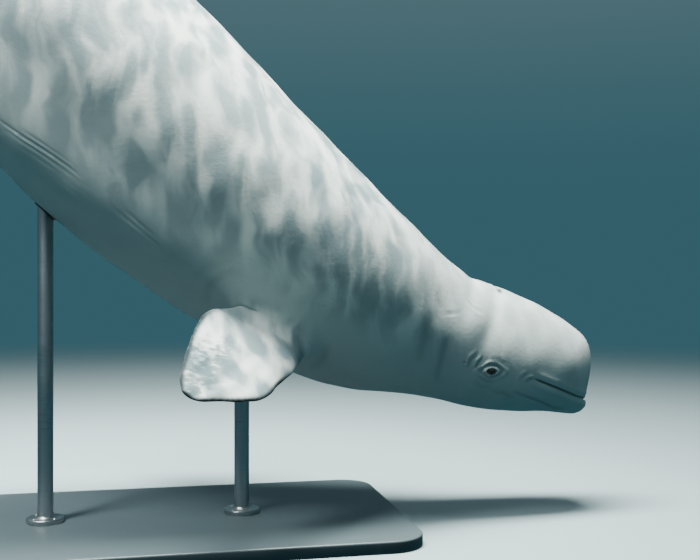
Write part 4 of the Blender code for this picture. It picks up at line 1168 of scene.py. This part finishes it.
def lacquered_board():
    """Fibreboard sprayed with satin slate grey lacquer: even, with a faint orange peel and light scuffs."""
    made, tree = new_material("satin_lacquered_board")
    object_place = node(tree, "TexCoord", {}).outputs["Object"]
    # Orange peel about 5 mm across
    peel = node(tree, "TexNoise", {"Vector": object_place, "Scale": 200.0, "Detail": 2.0, "Roughness": 0.5})
    scuff_place = node(tree, "Mapping", {"Vector": object_place, "Rotation": (0.0, 0.0, 0.5), "Scale": (4.0, 60.0, 1.0)})
    scuffs = node(tree, "TexNoise", {"Vector": scuff_place.outputs[0], "Scale": 2.0, "Detail": 5.0, "Roughness": 0.6})
    scuff_share = node(
        tree, "MapRange",
        {"Value": scuffs.outputs["Fac"], "From Min": 0.58, "From Max": 0.72, "To Min": 0.0, "To Max": 0.35},
    )
    tone = node(tree, "TexNoise", {"Vector": object_place, "Scale": 3.0, "Detail": 3.0})
    ground = node(
        tree, "Mix", {0: tone.outputs["Fac"], 6: hex_colour("#4B5559"), 7: hex_colour("#566063")},
        data_type="RGBA",
    )
    colour = node(
        tree, "Mix", {0: scuff_share.outputs[0], 6: ground.outputs[2], 7: hex_colour("#6D777A")},
        data_type="RGBA",
    )
    roughness = node(tree, "Math", {0: scuff_share.outputs[0], 1: 0.35, 2: 0.34}, operation="MULTIPLY_ADD")
    bump = node(tree, "Bump", {"Height": peel.outputs["Fac"], "Strength": 0.20, "Distance": 0.0005})
    shader = node(
        tree, "BsdfPrincipled",
        {"Base Color": colour.outputs[2], "Roughness": roughness.outputs[0], "IOR": 1.5, "Normal": bump.outputs[0]},
    )
    node(tree, "OutputMaterial", {"Surface": shader.outputs[0]})
    return made


def black_rubber():
    """Moulded black rubber, matt, with a slightly dusty grain."""
    made, tree = new_material("moulded_black_rubber")
    object_place = node(tree, "TexCoord", {}).outputs["Object"]
    grain = node(tree, "TexNoise", {"Vector": object_place, "Scale": 900.0, "Detail": 3.0})
    colour = node(
        tree, "Mix", {0: grain.outputs["Fac"], 6: hex_colour("#1B1C1D"), 7: hex_colour("#34363A")},
        data_type="RGBA",
    )
    bump = node(tree, "Bump", {"Height": grain.outputs["Fac"], "Strength": 0.3, "Distance": 0.0003})
    shader = node(
        tree, "BsdfPrincipled",
        {"Base Color": colour.outputs[2], "Roughness": 0.62, "IOR": 1.52, "Normal": bump.outputs[0]},
    )
    node(tree, "OutputMaterial", {"Surface": shader.outputs[0]})
    return made


def make_eyeball(side):
    """An eyeball: rings round the gaze at even polar angles, with a radius that swells a little in front
    where the cornea is."""
    polar = np.linspace(0, pi, 50)[1:-1, None]
    around = np.linspace(0, 2 * pi, 64, endpoint=False)[None, :]
    radius = EYEBALL_RADIUS + 0.0012 * (1 - smooth_step(0.15, 0.75, polar))
    local = np.stack([
        radius * np.sin(polar) * np.cos(around),
        radius * np.sin(polar) * np.sin(around),
        np.broadcast_to(radius * np.cos(polar), (48, 64)),
    ], -1)
    ways = np.array([LID_LONG_WAY, LID_SHORT_WAY, EYE_NORMAL])
    centre = EYE_POINT - EYE_NORMAL * EYE_SUNK
    turn = np.array([1, 1 if side == "right" else -1, 1])
    rings = (local @ ways + centre) * turn
    front = (centre + EYE_NORMAL * (EYEBALL_RADIUS + 0.0012)) * turn
    back = (centre - EYE_NORMAL * EYEBALL_RADIUS) * turn
    made = closed_mesh(f"eyeball_{side}", rings, front, back)
    made.data.shade_smooth()
    return made


def rounded_rectangle(length, width, corner, steps=14):
    """Points round a rectangle with round corners, anticlockwise, as quarter circles joined by lines."""
    quarter = np.linspace(0, pi / 2, steps)
    pieces = []
    for number, (x, y) in enumerate(((1, 1), (-1, 1), (-1, -1), (1, -1))):
        turn = quarter + number * pi / 2
        middle = np.array([x * (length / 2 - corner), y * (width / 2 - corner)])
        pieces.append(middle + corner * np.stack([np.cos(turn), np.sin(turn)], 1))
    return np.concatenate(pieces)


def make_display_base():
    """The base board: a rounded rectangle at each step of an edge profile, drawn in as the edge rounds."""
    low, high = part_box("stand_base")
    length, width, thick = (high - low)[:]
    edge, corner = 0.006, 0.12
    bend = np.linspace(0, pi / 2, 7)
    profile = [(0.030, 0.0), (0.004, 0.0), (0.0015, 0.0004), (0.0, 0.0020), (0.0, thick - edge - 0.001)]
    profile += [(edge * (1 - np.cos(t)), thick - edge * (1 - np.sin(t))) for t in bend]
    profile += [(edge + 0.002, thick), (0.030, thick)]
    rings = []
    for inset, height in profile:
        flat = rounded_rectangle(length - 2 * inset, width - 2 * inset, corner - inset)
        rings.append(np.column_stack([flat, np.full(len(flat), height)]))
    middle = np.array([(low.x + high.x) / 2, (low.y + high.y) / 2, 0.0])
    rings = np.array(rings) + middle
    made = closed_mesh("display_base", rings, middle, middle + [0, 0, thick])
    made.data.shade_smooth()
    return made


def turned(name, profile, x, sides=96):
    """A solid of revolution round an upright line at x: the (radius, height) profile, turned."""
    radius, height = np.array(profile).T
    around = np.linspace(0, 2 * pi, sides, endpoint=False)[None, :]
    rings = np.stack([
        x + radius[:, None] * np.cos(around),
        radius[:, None] * np.sin(around),
        np.broadcast_to(height[:, None], (len(radius), sides)),
    ], -1)
    made = closed_mesh(name, rings, np.array([x, 0, height[0]]), np.array([x, 0, height[-1]]))
    made.data.shade_smooth()
    made.data.set_sharp_from_angle(angle=radians(50))
    return made


def make_post(which):
    """A support post: a straight tube with softened ends, its head hidden inside the whale."""
    low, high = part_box(f"stand_rod_{which}")
    radius = (high.x - low.x) / 2
    x = (high.x + low.x) / 2
    profile = [
        (radius - 0.004, low.z),
        (radius, low.z + 0.001),
        (radius, low.z + 0.01),
        (radius, high.z - 0.006),
        (radius - 0.002, high.z - 0.002),
        (radius - 0.006, high.z),
    ]
    return turned(f"support_post_{which}", profile, x)


def make_flange(which):
    """The round flange at a post's foot: a disc with rounded edges and a low neck against the post."""
    low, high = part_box(f"stand_collar_{which}")
    radius = (high.x - low.x) / 2
    x = (high.x + low.x) / 2
    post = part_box(f"stand_rod_{which}")
    bore = (post[1].x - post[0].x) / 2 + 0.0006
    top = high.z
    edge = 0.0035
    bend = np.linspace(0, pi / 2, 6)
    profile = [(bore, low.z + 0.0005), (radius - 0.002, low.z), (radius, low.z + 0.001)]
    profile += [(radius - edge * (1 - np.cos(t)), top - 0.006 - edge * (1 - np.sin(t))) for t in bend]
    profile += [(bore + 0.0105, top - 0.006), (bore + 0.0075, top - 0.0052), (bore + 0.0055, top - 0.003)]
    profile += [(bore + 0.0050, top - 0.0010), (bore + 0.0040, top), (bore + 0.0008, top), (bore, top - 0.001)]
    radii, heights = np.array(profile + [profile[0]]).T
    sides = 96
    around = np.linspace(0, 2 * pi, sides, endpoint=False)[None, :]
    rings = np.stack([
        x + radii[:, None] * np.cos(around),
        radii[:, None] * np.sin(around),
        np.broadcast_to(heights[:, None], (len(radii), sides)),
    ], -1)
    made = ring_mesh(f"floor_flange_{which}", rings[:-1])
    made.data.set_sharp_from_angle(angle=radians(50))
    return made


def ring_mesh(name, rings):
    """A mesh over a grid of points that closes on itself both ways, its faces turned outwards."""
    count, sides = rings.shape[:2]
    i, j = (a.ravel() for a in np.meshgrid(np.arange(count), np.arange(sides), indexing="ij"))
    k, n = (j + 1) % sides, (i + 1) % count
    quads = np.stack([i * sides + j, i * sides + k, n * sides + k, n * sides + j], 1)
    points = rings.reshape(-1, 3)
    if np.linalg.det(points[quads[:, :3]]).sum() + np.linalg.det(points[quads[:, [0, 2, 3]]]).sum() < 0:
        quads = quads[:, ::-1]
    mesh = bpy.data.meshes.new(name)
    mesh.from_pydata(points.tolist(), [], quads.tolist())
    made = bpy.data.objects.new(name, mesh)
    bpy.context.scene.collection.objects.link(made)
    made.data.shade_smooth()
    return made


def make_flange_screws(which):
    """Four button-head screws in a flange: each a turned dome whose middle sinks into a six-sided socket."""
    low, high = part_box(f"stand_collar_{which}")
    x = (high.x + low.x) / 2
    top = high.z - 0.006
    sides = 24
    around = np.linspace(0, 2 * pi, sides, endpoint=False)
    hexagon = 1 / np.cos((around + pi / 6) % (pi / 3) - pi / 6)
    dome = [(0.0058, -0.001), (0.0060, 0.0003), (0.0054, 0.0016), (0.0042, 0.0024), (0.0034, 0.0026)]
    rings = [np.column_stack([r * np.cos(around), r * np.sin(around), np.full(sides, z)]) for r, z in dome]
    for r, z in ((0.0024, 0.0026), (0.0023, 0.0008)):
        rings.append(np.column_stack([r * hexagon * np.cos(around), r * hexagon * np.sin(around), np.full(sides, z)]))
    rings = np.array(rings)
    screws = []
    for number in range(4):
        turn = pi / 4 + number * pi / 2
        place = np.array([x + 0.047 * np.cos(turn), 0.047 * np.sin(turn), top])
        first, last = place + [0, 0, -0.001], place + [0, 0, 0.0008]
        screws.append(closed_mesh(f"flange_screw_{which}_{number}", rings + place, first, last))
    kept = screws[0]
    build = bmesh.new()
    for screw in screws:
        build.from_mesh(screw.data)
    build.to_mesh(kept.data)
    build.free()
    for screw in screws[1:]:
        bpy.data.objects.remove(screw)
    kept.name = f"flange_screws_{which}"
    kept.data.shade_smooth()
    kept.data.set_sharp_from_angle(angle=radians(35))
    return kept


def make_grommet(which, body_rings, body_normals):
    """A rubber grommet where a post enters the belly: a round bead along the circle in which the post's
    cylinder meets the skin."""
    low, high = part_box(f"stand_rod_{which}")
    radius = (high.x - low.x) / 2 + 0.003
    x = (high.x + low.x) / 2
    start = np.array([x, 0.0, high.z - 0.09])
    skin = near_surface(body_rings, body_normals, start, 0.16)
    around = np.linspace(0, 2 * pi, 72, endpoint=False)
    path = start + np.stack([radius * np.cos(around), radius * np.sin(around), np.zeros(72)], 1)
    for _ in range(8):
        gap, way = skin.distance(path)
        path[:, 2] -= gap / np.where(np.abs(way[:, 2]) < 0.2, -0.2, way[:, 2])
    _, way = skin.distance(path)
    radial = np.stack([np.cos(around), np.sin(around), np.zeros(72)], 1)
    side = unit(radial - way * (radial * way).sum(1, keepdims=True))
    bead = np.linspace(0, 2 * pi, 16, endpoint=False)
    rings = path[:, None] + 0.0060 * np.cos(bead)[None, :, None] * side[:, None]
    rings = rings + 0.0042 * np.sin(bead)[None, :, None] * way[:, None]
    return ring_mesh(f"post_grommet_{which}", rings)


def make_floor():
    """A round floor whose outer part fades into the surroundings, so that no edge shows."""
    around = np.linspace(0, 2 * pi, 96, endpoint=False)
    radii = np.array([0.0, 2.0, 5.0, 9.0, 14.0])
    points = [(0.0, 0.0, 0.0)]
    for radius in radii[1:]:
        points += np.column_stack([radius * np.cos(around), radius * np.sin(around), np.zeros(96)]).tolist()
    faces = [(0, 1 + j, 1 + (j + 1) % 96) for j in range(96)]
    for ring in range(3):
        base = 1 + 96 * ring
        faces += [(base + j, base + 96 + j, base + 96 + (j + 1) % 96, base + (j + 1) % 96) for j in range(96)]
    mesh = bpy.data.meshes.new("studio_floor")
    mesh.from_pydata(points, [], faces)
    made = bpy.data.objects.new("studio_floor", mesh)
    bpy.context.scene.collection.objects.link(made)
    look, tree = new_material("matt_studio_floor")
    object_place = node(tree, "TexCoord", {}).outputs["Object"]
    away = node(tree, "VectorMath", {0: object_place}, operation="LENGTH")
    shown = node(
        tree, "MapRange",
        {"Value": away.outputs["Value"], "From Min": 3.5, "From Max": 12.0, "To Min": 1.0, "To Max": 0.0},
        interpolation_type="SMOOTHERSTEP",
    )
    paint = node(tree, "BsdfPrincipled", {"Base Color": hex_colour("#9AA9AD"), "Roughness": 0.75})
    clear = node(tree, "BsdfTransparent", {})
    both = node(tree, "MixShader", {0: shown.outputs[0], 1: clear.outputs[0], 2: paint.outputs[0]})
    node(tree, "OutputMaterial", {"Surface": both.outputs[0]})
    mesh.materials.append(look)
    # The floor gives no light back, so the underside stays in shade as it does over deep water
    made.visible_diffuse = False
    made.visible_glossy = False


def set_camera():
    """A level camera at the photograph's viewing angle, with its frame and focal length."""
    data = bpy.data.cameras.new("camera")
    data.sensor_width = 36.0
    data.lens = 49.99
    data.clip_end = 100.0
    camera = bpy.data.objects.new("camera", data)
    bpy.context.scene.collection.objects.link(camera)
    camera.location = (-0.0373, -3.4140, 0.8540)
    camera.rotation_euler = Vector((0.2079, 0.9781, 0.0)).to_track_quat("-Z", "Y").to_euler()
    bpy.context.scene.camera = camera


def add_light(name, place, aim, size, watts, colour, spread):
    """A softbox: a panel that lights within an angle of its middle, as one with a grid does."""
    data = bpy.data.lights.new(name, "AREA")
    data.shape = "RECTANGLE"
    data.size, data.size_y = size
    data.spread = radians(spread)
    data.energy = watts
    data.color = hex_colour(colour)[:3]
    light = bpy.data.objects.new(name, data)
    bpy.context.scene.collection.objects.link(light)
    light.location = place
    light.rotation_euler = (Vector(aim) - Vector(place)).to_track_quat("-Z", "Y").to_euler()


def set_lights():
    """Soft light from a panel overhead, a weaker one over the tail, and a surround that is brightest above."""
    add_light("overhead_panel", (-0.15, -0.36, 5.4), (-0.15, -0.10, 1.3), (3.9, 1.2), 750, "#F6FFFA", 120)
    add_light("tail_panel", (-2.4, -1.6, 5.2), (-1.35, 0.0, 1.9), (1.3, 1.3), 60, "#F2FBFA", 44)
    world = bpy.data.worlds.new("studio")
    bpy.context.scene.world = world
    world.use_nodes = True
    world.node_tree.nodes.clear()
    tree = world.node_tree
    way = node(tree, "TexCoord", {}).outputs["Generated"]
    upwards = node(tree, "SeparateXYZ", {0: way})
    above = node(
        tree, "MapRange",
        {"Value": upwards.outputs[2], "From Min": 0.06, "From Max": 0.95, "To Min": 0.0, "To Max": 1.0},
        interpolation_type="SMOOTHSTEP",
    )
    colour = node(
        tree, "Mix", {0: above.outputs[0], 6: hex_colour("#56909F"), 7: hex_colour("#DDF1F4")}, data_type="RGBA",
    )
    surround = node(tree, "Background", {"Color": colour.outputs[2], "Strength": 0.42})
    node(tree, "OutputWorld", {"Surface": surround.outputs[0]})


def keep(piece, look, slot, *nodes):
    """Gives a piece its material and its body, and hides the solids that it stands for. The slot is not used."""
    piece.data.materials.clear()
    piece.data.materials.append(look)
    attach(piece, "root")
    if nodes:
        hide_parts(*nodes)


FLESH = (
    "head", "melon", "lower_jaw", "neck", "chest", "torso", "loin", "tail_stock",
    "flipper_right", "flipper_left", "fluke_right", "fluke_left",
)


def main():
    set_camera()
    skin = make_skin()
    mark_skin(skin)
    keep(skin, painted_silicone_skin(), "skin", *FLESH)
    eye_look = glass_eye()
    for side in ("right", "left"):
        keep(make_eyeball(side), eye_look, "eye", f"eye_{side}")
    keep(make_display_base(), lacquered_board(), "base", "stand_base")
    post_look = brushed_stainless_steel("brushed_steel_tube", True)
    flange_look = brushed_stainless_steel("brushed_steel_flange", False)
    rubber = black_rubber()
    body_rings = body_grid()[0]
    body_normals = grid_normals(body_rings, True)
    for which in ("front", "rear"):
        keep(make_post(which), post_look, "rod", f"stand_rod_{which}")
        keep(make_flange(which), flange_look, "rod", f"stand_collar_{which}")
        keep(make_flange_screws(which), flange_look, "rod")
        keep(make_grommet(which, body_rings, body_normals), rubber, "rod")
    make_floor()
    set_lights()


main()
